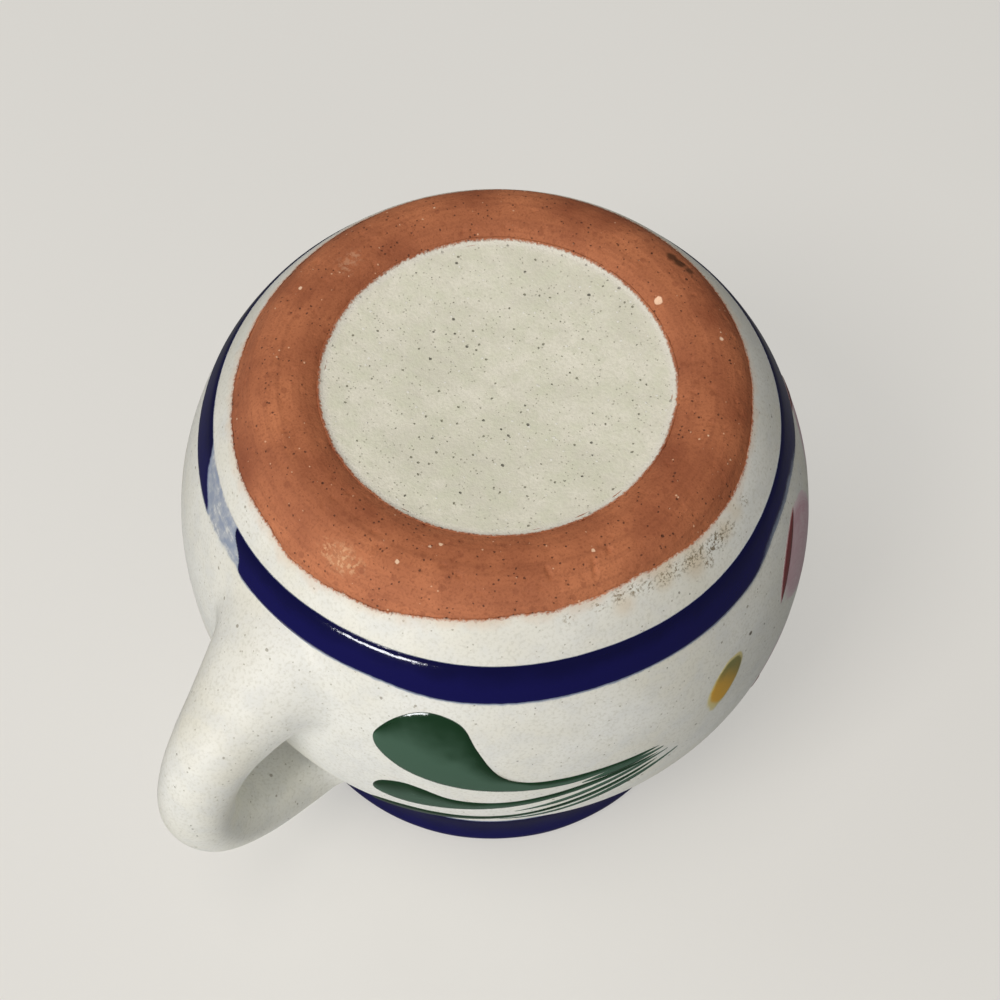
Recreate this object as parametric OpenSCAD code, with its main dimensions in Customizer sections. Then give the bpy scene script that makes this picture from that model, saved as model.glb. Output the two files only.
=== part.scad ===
// Small round-bellied clay mug with one finger handle, thrown, white glazed and brush painted.
// Z runs up the mug's axis from the table, and the handle points along +X.
// Every coat of glaze or paint is a thin closed solid that lies face to face on what it covers.

/* [Body] */
// Height from the table to the top of the lip
mug_h = 81; // [76:0.5:88]
// Radius at the widest part of the belly, over the glaze
belly_r = 45; // [43:0.5:48]
// Height of the widest part of the belly
belly_z = 34; // [31:0.5:37]
// Radius that the lower wall would reach at the table
foot_r = 31.5; // [30.5:0.1:32.5]
// Radius at the narrowest part of the neck, over the glaze
neck_r = 33.7; // [32:0.1:36]
// Drop from the lip to the narrowest part of the neck
neck_drop = 5.5; // [4:0.1:7]
// How far the lip flares out past the neck
lip_flare = 1; // [0.4:0.1:1.6]
// Height of the rounded top of the lip
lip_round = 1.6; // [1:0.1:2]
// Thickness of the thrown clay wall
wall_t = 3.8; // [3:0.1:4.6]
// Thickness of the clay floor at its middle
floor_t = 5; // [4:0.1:6]
// Height over which the inside of the bowl rounds into the floor
bowl_round = 14; // [11:0.5:17]

/* [Foot ring] */
// Radius where the recessed base disc meets the foot ring
recess_r = 22.8; // [21.5:0.1:23.5]
// Height of the disc's edge above the table
recess_edge_z = 1.6; // [1.2:0.1:2]
// Extra height of the disc's shallow dish at its middle
dish_rise = 1.4; // [0.8:0.1:2]
// Rounding radius of the foot ring's outer edge
foot_round = 6; // [5.5:0.1:6.5]
// Width of the worn flat that the mug stands on
touch_w = 1.3; // [0.8:0.1:1.8]

/* [Handle] */
// Height of the lower root on the belly
handle_low_z = 24; // [22:0.5:26]
// Height of the top of the handle's loop, on its centreline
handle_top_z = 57; // [55:0.5:60]
// How far the centreline swings out past the belly
handle_reach = 14; // [13:0.5:18]
// Width of the pulled clay strap, seen square on to the loop, over the glaze
strap_w = 11; // [9:0.5:13]
// Thickness of the strap in the plane of the loop, over the glaze
strap_t = 10.2; // [9:0.1:11]

/* [Glaze] */
// Thickness of each coat of glaze
glaze_t = 0.35; // [0.25:0.05:0.5]
// Height above the table where the white glaze stops
glaze_edge_z = 4.5; // [3.5:0.1:5.5]

/* [Painted bands] */
// Thickness of the raised brushed slip
paint_t = 0.25; // [0.15:0.05:0.35]
// Middle height of the blue band round the foot
band_z = 11.1; // [10.5:0.1:12]
// Width of the blue band round the foot
band_w = 5.2; // [4:0.1:6]
// Tilt of that band, left by the brush as the wheel turned
band_tilt = 0.3; // [0:0.1:2]
// Compass angle round the mug towards which the band rises
band_tilt_angle = 0; // [-180:1:180]
// Depth of the blue lip band down the outside
lip_band_h = 8.5; // [6:0.1:10]
// Depth of the blue lip band down the inside
lip_band_in_h = 3; // [2:0.1:5]

/* [Flower spray] */
// Compass angle of the flower's heart
flower_angle = -130; // [-140:1:-120]
// Height of the flower's heart
flower_z = 36; // [34:0.5:38]
// Radius to the tips of the petals
flower_r = 20; // [15:0.5:21]
// Radius of the flower's heart
heart_r = 3.6; // [2.5:0.1:4.5]
// Number of petals
petals = 5; // [4:1:7]
// Width of each dark stroke along a petal
petal_stroke_w = 1.8; // [1:0.1:2.4]
// Angle round the mug from the heart to the middle of each leaf group
leaf_swing = 82.5; // [80:0.5:88]
// Height where the leaf tails run together
leaf_z = 30.5; // [29:0.5:32]
// Reach of the leaves from that point
leaf_reach = 38.5; // [34:0.5:40]
// Drop of the lowest leaf below that point
leaf_drop = 15; // [11:0.5:16]
// Angle round the mug from the heart to each bud
bud_swing = 43.3; // [40:0.1:46]
// Height of each bud
bud_z = 26.2; // [25:0.1:30]
// Length of each bud
bud_l = 7.5; // [5:0.1:9]
// Width of each bud
bud_w = 6; // [4:0.1:7]

/* [Hidden] */

// Overrun that carries every cut clear of the faces it cuts
cut_over = 2;

neck_z = mug_h - neck_drop;
lip_start_z = mug_h - lip_round;
coats_t = wall_t + 2 * glaze_t;
floor_z = recess_edge_z + dish_rise + floor_t;
bowl_top_z = floor_z + bowl_round;

// Curve powers that give the lower wall its fullness and the shoulder its slope
belly_curve = 2.15;
shoulder_curve = 1.1;
flare_curve = 2;

// Rows of points on each stretch of the wall
lower_rows = 10;
upper_rows = 12;
flare_rows = 3;
lip_rows = 8;
bowl_rows = 8;
dish_rows = 5;
ring_rows = 5;
turn_faces = 96;
small_faces = 32;

// Radius of the glazed outside at a height
function lower_r(z) = belly_r - (belly_r - foot_r) * pow((belly_z - z) / belly_z, belly_curve);
function shoulder_share(z) = pow((z - belly_z) / (neck_z - belly_z), shoulder_curve);
function upper_r(z) = neck_r + (belly_r - neck_r) * (1 + cos(180 * shoulder_share(z))) / 2;
function flare_r(z) = neck_r + lip_flare * pow((z - neck_z) / neck_drop, flare_curve);
function skin_r(z) = z < belly_z ? lower_r(z) : z < neck_z ? upper_r(z) : flare_r(z);
function rows(low, high, count) = [for (i = [0:count - 1]) low + (high - low) * i / count];

// Slope of the lower wall, as its lean away from upright
function lower_lean(z) = atan(
    (belly_r - foot_r) * belly_curve / belly_z * pow((belly_z - z) / belly_z, belly_curve - 1));

// The glazed surface, from the glaze edge up the outside, over the lip and down into the bowl
outer_rows = concat(
    rows(glaze_edge_z, belly_z, lower_rows),
    rows(belly_z, neck_z, upper_rows),
    rows(neck_z, lip_start_z, flare_rows));
outer_path = [for (z = outer_rows) [skin_r(z), z]];
lip_mid_r = skin_r(lip_start_z) - coats_t / 2;
lip_path = [for (i = [0:lip_rows])
    [lip_mid_r + coats_t / 2 * cos(180 * i / lip_rows), lip_start_z + lip_round * sin(180 * i / lip_rows)]];
inner_rows = [for (i = [len(outer_rows) - 1:-1:0]) if (outer_rows[i] > bowl_top_z) outer_rows[i]];
inner_path = [for (z = inner_rows) [skin_r(z) - coats_t, z]];
function bowl_point(turn) = let (z = bowl_top_z - bowl_round * sin(turn))
    [turn == 90 ? 0 : (skin_r(z) - coats_t) * cos(turn), z];
bowl_path = [for (i = [0:bowl_rows]) bowl_point(90 * i / bowl_rows)];
wall_path = concat(outer_path, lip_path, inner_path, bowl_path);

outer_end = len(outer_path);
lip_top = outer_end + lip_rows / 2;
wall_end = len(wall_path) - 1;

// A path moved away from the clay by a distance, with mitred corners
function unit(v) = v / norm(v);
function before(p, i) = i > 0 ? p[i - 1] : 2 * p[0] - p[1];
function after(p, i) = i < len(p) - 1 ? p[i + 1]
    : p[i][0] == 0 ? [-p[i - 1][0], p[i - 1][1]] : 2 * p[i] - p[i - 1];
function across(v) = [v[1], -v[0]];
function mitre(p, i) = let (n = across(unit(p[i] - before(p, i))), m = across(unit(after(p, i) - p[i])))
    (n + m) / (1 + n * m);
function moved(p, d) = [for (i = [0:len(p) - 1]) p[i] + d * mitre(p, i)];
function part_of(p, i, j) = [for (k = [i:j]) p[k]];
function reversed(p) = [for (k = [len(p) - 1:-1:0]) p[k]];

clay_wall = moved(wall_path, -glaze_t);
paint_wall = moved(wall_path, paint_t);

// A coat between two of those paths, from one row of the wall to another
function coat(low, high, i, j) = concat(part_of(low, i, j), reversed(part_of(high, i, j)));

// The recessed disc under the floor, from its middle to its edge
dish_path = [for (i = [0:dish_rows]) let (s = i / dish_rows)
    [recess_r * s, recess_edge_z + dish_rise * (1 - s * s)]];
dish_clay = [for (p = dish_path) p + [0, glaze_t]];

// The bare foot ring: a narrow flat meets the table, between an outer flank that rounds up to the
// wall and an inner flank whose rounding fits the space left beside the disc
touch_share = 0.4;
ring_out_turn = 90 - lower_lean(foot_round * touch_share);
ring_out_z = foot_round * (1 - cos(ring_out_turn));
ring_out_r = skin_r(ring_out_z) - glaze_t / sin(ring_out_turn) - foot_round * sin(ring_out_turn);
ring_in_r = ring_out_r - touch_w;
ring_in_w = ring_in_r - recess_r;
ring_in_round = (ring_in_w * ring_in_w + recess_edge_z * recess_edge_z) / (2 * recess_edge_z);
ring_in_turn = acos((ring_in_round - recess_edge_z) / ring_in_round);
function ring_point(r, round, turn) = [r + round * sin(turn), round * (1 - cos(turn))];
ring_path = concat(
    [for (i = [0:ring_rows]) ring_point(ring_in_r, ring_in_round, -ring_in_turn * (1 - i / ring_rows))],
    [for (i = [0:ring_rows]) ring_point(ring_out_r, foot_round, ring_out_turn * i / ring_rows)]);

// Smooth curves through chosen points
function bend(a, b, c, d, t) = (2 * b + (c - a) * t + (2 * a - 5 * b + 4 * c - d) * t * t
    + (3 * b - a - 3 * c + d) * t * t * t) / 2;
function closed_curve(p, steps) = let (n = len(p)) [for (i = [0:n - 1], s = [0:steps - 1])
    bend(p[(i + n - 1) % n], p[i], p[(i + 1) % n], p[(i + 2) % n], s / steps)];
function open_curve(p, steps) = let (n = len(p)) concat([for (i = [0:n - 2], s = [0:steps - 1])
    bend(p[max(i - 1, 0)], p[i], p[i + 1], p[min(i + 2, n - 1)], s / steps)], [p[n - 1]]);

// The handle's loop, from inside the belly wall round to inside the neck. Each station has shares:
// of handle_reach past the belly, of the rise from lower root to loop top, of width and of thickness.
strap_half_w = strap_w / 2;
strap_half_t = strap_t / 2;
loop_shares = [
    [-0.70, -0.17, 1.75, 1.42],
    [-0.34, -0.08, 1.72, 1.42],
    [-0.04, 0.00, 1.58, 1.34],
    [0.32, 0.09, 1.30, 1.18],
    [0.63, 0.19, 1.10, 1.04],
    [0.89, 0.35, 1.00, 0.98],
    [1.00, 0.56, 1.00, 0.98],
    [0.86, 0.76, 1.04, 1.00],
    [0.45, 0.92, 1.08, 1.02],
    [-0.07, 0.99, 1.12, 1.05],
    [-0.57, 1.00, 1.20, 1.14],
    [-1.07, 0.98, 1.28, 1.26]
];
loop_stations = [for (s = loop_shares) [
    belly_r + s[0] * handle_reach,
    handle_low_z + s[1] * (handle_top_z - handle_low_z),
    s[2] * strap_half_w,
    s[3] * strap_half_t
]];
loop_steps = 3;
loop_sides = 24;
loop_curve = open_curve(loop_stations, loop_steps);
loop_end = len(loop_curve) - 1;
function loop_way(i) = let (a = loop_curve[max(i - 1, 0)], b = loop_curve[min(i + 1, loop_end)])
    unit([b[0] - a[0], b[1] - a[1]]);
function loop_ring(i, thinner) = let (c = loop_curve[i], w = loop_way(i))
    [for (k = [0:loop_sides - 1]) let (turn = 360 * k / loop_sides, t = (c[3] - thinner) * cos(turn))
        [c[0] + t * w[1], (c[2] - thinner) * sin(turn), c[1] - t * w[0]]];
function loop_points(thinner) = [for (i = [0:loop_end], p = loop_ring(i, thinner)) p];
function loop_face(i, k, upper) = let (a = i * loop_sides + k, b = i * loop_sides + (k + 1) % loop_sides)
    upper ? [a, b + loop_sides, b] : [a, a + loop_sides, b + loop_sides];
loop_faces = concat(
    [[for (k = [0:loop_sides - 1]) k]],
    [for (i = [0:loop_end - 1], k = [0:loop_sides - 1], upper = [true, false]) loop_face(i, k, upper)],
    [[for (k = [loop_sides - 1:-1:0]) loop_end * loop_sides + k]]);

module loop_strap(thinner) {
    polyhedron(points = loop_points(thinner), faces = loop_faces);
}

// A turned solid or shell from a half section
module turned(section) {
    rotate_extrude($fn = turn_faces) polygon(section);
}

// Everything inside the glazed outside, with no hollow
module filled_mug() {
    turned(concat([[0, glaze_edge_z]], part_of(wall_path, 0, lip_top), [[0, mug_h]]));
}

module outside_coat() {
    turned(coat(clay_wall, wall_path, 0, lip_top));
}

module outside_paint() {
    turned(coat(wall_path, paint_wall, 0, outer_end));
}

// Brushwork: a flat outline, x across and y up, laid on the outside at a compass angle
module painted(angle) {
    intersection() {
        outside_paint();
        rotate([0, 0, angle]) rotate([90, 0, 90]) linear_extrude(height = belly_r + cut_over) children();
    }
}

module clay_body() {
    color("#b4653f") turned(concat(dish_clay, ring_path, clay_wall));
}

module handle_clay() {
    color("#b4653f") difference() {
        loop_strap(glaze_t);
        filled_mug();
    }
}

module luting(low_side) {
    color("#9c5636") intersection() {
        outside_coat();
        loop_strap(glaze_t);
        translate([0, -belly_r, low_side ? 0 : (handle_low_z + handle_top_z) / 2])
            cube([2 * belly_r, 2 * belly_r, (handle_low_z + handle_top_z) / 2]);
    }
}

module lower_luting() {
    luting(true);
}

module upper_luting() {
    luting(false);
}

module outside_glaze() {
    color("#e9e8e2") difference() {
        outside_coat();
        loop_strap(glaze_t);
    }
}

module inside_glaze() {
    color("#e4e2d8") turned(coat(clay_wall, wall_path, lip_top, wall_end));
}

module handle_glaze() {
    color("#e9e8e2") difference() {
        loop_strap(0);
        loop_strap(glaze_t);
        filled_mug();
    }
}

module base_glaze() {
    color("#cfceba") turned(concat(dish_path, reversed(dish_clay)));
}

module foot_band() {
    color("#171850") intersection() {
        outside_paint();
        rotate([0, 0, band_tilt_angle]) translate([0, 0, band_z]) rotate([0, -band_tilt, 0])
            cylinder(r = belly_r + cut_over, h = band_w, center = true, $fn = turn_faces);
    }
}

module lip_band() {
    color("#171850") difference() {
        turned(coat(wall_path, paint_wall, outer_end - flare_rows - upper_rows, wall_end - bowl_rows));
        translate([0, 0, -cut_over])
            cylinder(r = belly_r + cut_over, h = mug_h - lip_band_h + cut_over, $fn = turn_faces);
        translate([0, 0, -cut_over])
            cylinder(r = lip_mid_r, h = mug_h - lip_band_in_h + cut_over, $fn = turn_faces);
    }
}

// Leaf outlines: x is a share of leaf_reach from where the tails meet, y a share of leaf_drop
large_leaf_shares = [
    [0.00, -0.09], [0.20, -0.09], [0.34, -0.08], [0.48, -0.11], [0.57, -0.26],
    [0.64, -0.62], [0.68, -0.87], [0.74, -0.97], [0.81, -0.98], [0.88, -0.89], [0.94, -0.74],
    [0.98, -0.56], [0.97, -0.38], [0.90, -0.18], [0.80, -0.05], [0.68, 0.03],
    [0.55, 0.06], [0.43, 0.06], [0.29, 0.02], [0.19, -0.03]
];
middle_leaf_shares = [
    [0.00, 0.04], [0.10, 0.06], [0.24, 0.12], [0.38, 0.21], [0.53, 0.30],
    [0.64, 0.32], [0.74, 0.28], [0.83, 0.15], [0.90, 0.11], [0.97, 0.21],
    [1.00, 0.39], [0.98, 0.53], [0.89, 0.61], [0.76, 0.58], [0.61, 0.50],
    [0.47, 0.40], [0.33, 0.27], [0.17, 0.14]
];
small_leaf_shares = [
    [0.00, 0.15], [0.15, 0.30], [0.34, 0.53], [0.51, 0.73], [0.67, 0.84],
    [0.80, 0.84], [0.91, 0.83], [1.00, 0.91], [1.01, 1.09], [0.93, 1.19],
    [0.80, 1.17], [0.67, 1.05], [0.51, 0.84], [0.34, 0.61], [0.15, 0.36]
];
// Thin tails: the same shares, with each point's half width as a share of tail_w
tail_shares = [
    [[0.28, 0.085, 0.2], [0.19, 0.035, 0.9], [0.10, 0.000, 0.8], [-0.01, -0.030, 0.2]],
    [[0.51, 0.590, 0.2], [0.36, 0.435, 1.0], [0.20, 0.255, 1.0], [0.07, 0.125, 0.8], [-0.03, 0.060, 0.2]],
    [[0.56, 1.000, 0.2], [0.43, 0.850, 1.0], [0.28, 0.650, 1.0], [0.12, 0.420, 0.8], [-0.03, 0.200, 0.2]]
];
tail_w = 0.3;
outline_steps = 3;

function leaf_outline(shares) = [for (p = closed_curve(shares, outline_steps))
    [p[0] * leaf_reach - leaf_reach / 2, leaf_z + p[1] * leaf_drop]];
function tail_spine(shares) = open_curve([for (p = shares)
    [p[0] * leaf_reach - leaf_reach / 2, leaf_z + p[1] * leaf_drop, p[2] * tail_w]], outline_steps);
function spine_way(p, i) = let (a = p[max(i - 1, 0)], b = p[min(i + 1, len(p) - 1)])
    unit([b[0] - a[0], b[1] - a[1]]);
function spine_side(p, sign) = [for (i = [0:len(p) - 1]) let (w = spine_way(p, i))
    [p[i][0] - sign * w[1] * p[i][2], p[i][1] + sign * w[0] * p[i][2]]];
function stroke(p) = concat(spine_side(p, 1), reversed(spine_side(p, -1)));

// One side of the spray, or its mirror image beyond the flower
module leaf_group(far) {
    side = far ? -1 : 1;
    painted(flower_angle + side * leaf_swing) mirror([far ? 1 : 0, 0]) children();
}

module large_leaf_on(far) {
    color("#3c5548") leaf_group(far) polygon(leaf_outline(large_leaf_shares));
}

module middle_leaf_on(far) {
    color("#3c5548") leaf_group(far) polygon(leaf_outline(middle_leaf_shares));
}

module small_leaf_on(far) {
    color("#3c5548") leaf_group(far) polygon(leaf_outline(small_leaf_shares));
}

module leaf_tails_on(far) {
    color("#33483e") leaf_group(far) {
        for (shares = tail_shares) polygon(stroke(tail_spine(shares)));
    }
}

module bud_on(far) {
    side = far ? -1 : 1;
    color("#c99a2e") painted(flower_angle + side * bud_swing)
        translate([0, bud_z]) scale([bud_w, bud_l]) circle(d = 1, $fn = small_faces);
}

// A petal points up from the heart: half widths as shares of flower_r, at shares of its length
petal_shares = [
    [0.00, 0.30], [0.10, 0.34], [0.22, 0.48], [0.30, 0.66], [0.29, 0.84], [0.18, 0.96],
    [0.00, 1.00], [-0.18, 0.96], [-0.29, 0.84], [-0.30, 0.66], [-0.22, 0.48], [-0.10, 0.34]
];
// A stroke runs along one edge of each petal, with its half width as a share of petal_stroke_w
petal_stroke_shares = [
    [-0.12, 0.40, 0.10], [-0.21, 0.55, 0.42], [-0.25, 0.72, 0.50], [-0.20, 0.88, 0.38], [-0.08, 0.97, 0.10]
];
petal_outline = [for (p = closed_curve(petal_shares, outline_steps)) p * flower_r];
petal_stroke_outline = stroke(open_curve([for (p = petal_stroke_shares)
    [p[0] * flower_r, p[1] * flower_r, p[2] * petal_stroke_w]], outline_steps));

module round_heart() {
    for (i = [0:petals - 1]) rotate(360 * i / petals) children();
}

module petal_wash() {
    color("#cf9aa6") painted(flower_angle) translate([0, flower_z]) round_heart() difference() {
        polygon(petal_outline);
        polygon(petal_stroke_outline);
    }
}

module petal_strokes() {
    color("#8e2b33") painted(flower_angle) translate([0, flower_z]) round_heart()
        polygon(petal_stroke_outline);
}

module flower_heart() {
    color("#c99a2e") painted(flower_angle) translate([0, flower_z]) circle(r = heart_r, $fn = small_faces);
}

module large_leaf() {
    large_leaf_on(false);
}

module middle_leaf() {
    middle_leaf_on(false);
}

module small_leaf() {
    small_leaf_on(false);
}

module leaf_tails() {
    leaf_tails_on(false);
}

module bud() {
    bud_on(false);
}

module far_large_leaf() {
    large_leaf_on(true);
}

module far_middle_leaf() {
    middle_leaf_on(true);
}

module far_small_leaf() {
    small_leaf_on(true);
}

module far_leaf_tails() {
    leaf_tails_on(true);
}

module far_bud() {
    bud_on(true);
}

clay_body();
handle_clay();
lower_luting();
upper_luting();
outside_glaze();
inside_glaze();
handle_glaze();
base_glaze();
foot_band();
lip_band();
large_leaf();
middle_leaf();
small_leaf();
leaf_tails();
bud();
petal_wash();
petal_strokes();
flower_heart();
far_large_leaf();
far_middle_leaf();
far_small_leaf();
far_leaf_tails();
far_bud();
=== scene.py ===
"""Looks of a small round-bellied clay mug: thrown clay, coats of glaze and raised brush strokes."""

import sys
import logging
import math
from collections.abc import Callable, Iterable, Sequence
from dataclasses import dataclass, replace
from enum import Enum
from functools import cached_property

import bmesh
import bpy
import numpy as np
from mathutils import Matrix, Vector, noise


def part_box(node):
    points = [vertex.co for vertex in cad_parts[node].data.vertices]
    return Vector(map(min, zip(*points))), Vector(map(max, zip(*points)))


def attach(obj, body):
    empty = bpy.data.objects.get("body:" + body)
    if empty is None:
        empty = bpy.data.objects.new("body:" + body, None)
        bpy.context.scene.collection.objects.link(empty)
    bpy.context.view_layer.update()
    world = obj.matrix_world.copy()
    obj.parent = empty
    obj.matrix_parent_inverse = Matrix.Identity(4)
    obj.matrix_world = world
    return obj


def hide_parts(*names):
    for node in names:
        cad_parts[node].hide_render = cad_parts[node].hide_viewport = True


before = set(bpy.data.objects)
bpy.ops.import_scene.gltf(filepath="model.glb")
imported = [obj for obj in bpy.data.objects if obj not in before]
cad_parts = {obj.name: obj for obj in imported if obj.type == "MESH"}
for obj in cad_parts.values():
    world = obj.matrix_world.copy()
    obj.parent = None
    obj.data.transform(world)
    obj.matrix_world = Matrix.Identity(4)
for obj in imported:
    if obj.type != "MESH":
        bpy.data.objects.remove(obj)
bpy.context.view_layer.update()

MM = 0.001
# Distances within which vertices are one: for seams and poles of a finished piece, and for the
# rows that a spin or a grid lays on each other.
MERGE = 0.00003 * MM
WELD = 0.001 * MM
# How much weaker and finer each layer of a cloudy noise is than the last.
NOISE_FADE, NOISE_FINER = 0.9, 2.0
# How often a spun wedge is doubled to go all the way round.
DOUBLINGS = 5
LOG = logging.getLogger("clay_mug")

Socket = bpy.types.NodeSocket
Tree = bpy.types.NodeTree
Mesh = bmesh.types.BMesh
Material = bpy.types.Material
Piece = bpy.types.Object
Colour = tuple[float, float, float, float]
Number = np.ndarray | float
Edge = tuple[np.ndarray, np.ndarray]
Outline = tuple[tuple[float, ...], ...]
Load = Callable[[np.ndarray, np.ndarray, np.ndarray], np.ndarray]


def linear(hex_colour: str) -> Colour:
    """Turn an sRGB hex colour into the linear colour that a shader takes.

    Args:
        hex_colour: Colour such as "#c8764e".

    Returns:
        Red, green, blue and an alpha of one.
    """
    parts = [int(hex_colour[i:i + 2], 16) / 255 for i in (1, 3, 5)]
    red, green, blue = (p / 12.92 if p <= 0.04045 else ((p + 0.055) / 1.055) ** 2.4
                        for p in parts)
    return red, green, blue, 1.0


def add_node(tree: Tree, kind: str, inputs: dict | None = None, **settings) -> bpy.types.Node:
    """Add one node, set its options, and link or fill its inputs.

    Args:
        tree: Node tree that gets the node.
        kind: Node type, such as "ShaderNodeMix".
        inputs: Socket name or number to a socket to link, or to a value.
        **settings: Options of the node itself.

    Returns:
        The new node.
    """
    node = tree.nodes.new(kind)
    for option, value in settings.items():
        setattr(node, option, value)
    for key, value in (inputs or {}).items():
        if isinstance(value, Socket):
            tree.links.new(value, node.inputs[key])
        else:
            node.inputs[key].default_value = value
    return node


def empty_tree(owner: Material | bpy.types.World) -> Tree:
    """Give a material or a world an empty node tree."""
    owner.use_nodes = True
    owner.node_tree.nodes.clear()
    return owner.node_tree


def smooth_step(low: float, high: float, value: Number) -> Number:
    """Rise smoothly from 0 at low to 1 at high."""
    t = np.clip((value - low) / (high - low), 0, 1)
    return t * t * (3 - 2 * t)


def length_so_far(points: np.ndarray) -> np.ndarray:
    """Give the length along a line up to each of its points."""
    return np.concatenate(([0], np.cumsum(np.linalg.norm(np.diff(points, axis=0), axis=1))))


def flowing_line(points: Sequence[Sequence[float]], steps: int, closed: bool = False) -> np.ndarray:
    """Pass a smooth curve through given points.

    Args:
        points: Rows of numbers, one row for each point.
        steps: Curve points for each span.
        closed: Whether the last point leads back to the first.

    Returns:
        Rows along the curve.
    """
    given = np.array(points, float)
    if closed:
        around = np.vstack((given[-1:], given, given[:2]))
    else:
        around = np.vstack((2 * given[:1] - given[1:2], given, 2 * given[-1:] - given[-2:-1]))
    t = np.arange(steps)[:, None] / steps
    rows = [b + 0.5 * t * (c - a + t * (2 * a - 5 * b + 4 * c - d + t * (3 * (b - c) + d - a)))
            for a, b, c, d in zip(around, around[1:], around[2:], around[3:])]
    return np.vstack(rows + [given[:1] if closed else given[-1:]])


def evenly(points: np.ndarray, count: int, lean: float = 0.0) -> np.ndarray:
    """Lay points along a line again.

    Args:
        points: Rows along the line.
        count: Number of rows wanted.
        lean: 0 spaces them evenly, 1 crowds them at both ends.

    Returns:
        The new rows.
    """
    length = length_so_far(points)
    t = np.linspace(0, 1, count)
    t = (1 - lean) * t + lean * (1 - np.cos(math.pi * t)) / 2
    return np.stack([np.interp(t * length[-1], length, column) for column in points.T], axis=1)


def rough_noise(points: np.ndarray, size_mm: float, octaves: int, seed: float = 0.0) -> np.ndarray:
    """Read a cloudy noise of about -1 to 1 at points given in metres.

    Args:
        points: Rows of x, y, z in metres.
        size_mm: Size of the largest clouds.
        octaves: Number of finer layers.
        seed: Shifts the pattern.

    Returns:
        One value for each row.
    """
    scaled = points / (size_mm * MM) + seed
    return np.array([noise.fractal(Vector(p), NOISE_FADE, NOISE_FINER, octaves) for p in scaled])


def unevenness(points: np.ndarray, layers: Outline) -> np.ndarray:
    """Add up cloudy noises at points given in metres.

    Args:
        points: Rows of x, y, z in metres.
        layers: Strength in mm, size in mm, octaves and seed of each noise.

    Returns:
        One value in mm for each row.
    """
    return sum(strength * rough_noise(points, size, octaves, seed)
               for strength, size, octaves, seed in layers)


def circle(theta: np.ndarray, radius: float) -> np.ndarray:
    """Give points in metres round a circle of a radius in mm, to read a closed noise at."""
    return np.stack((np.cos(theta), np.sin(theta), 0 * theta), 1) * radius * MM


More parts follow.
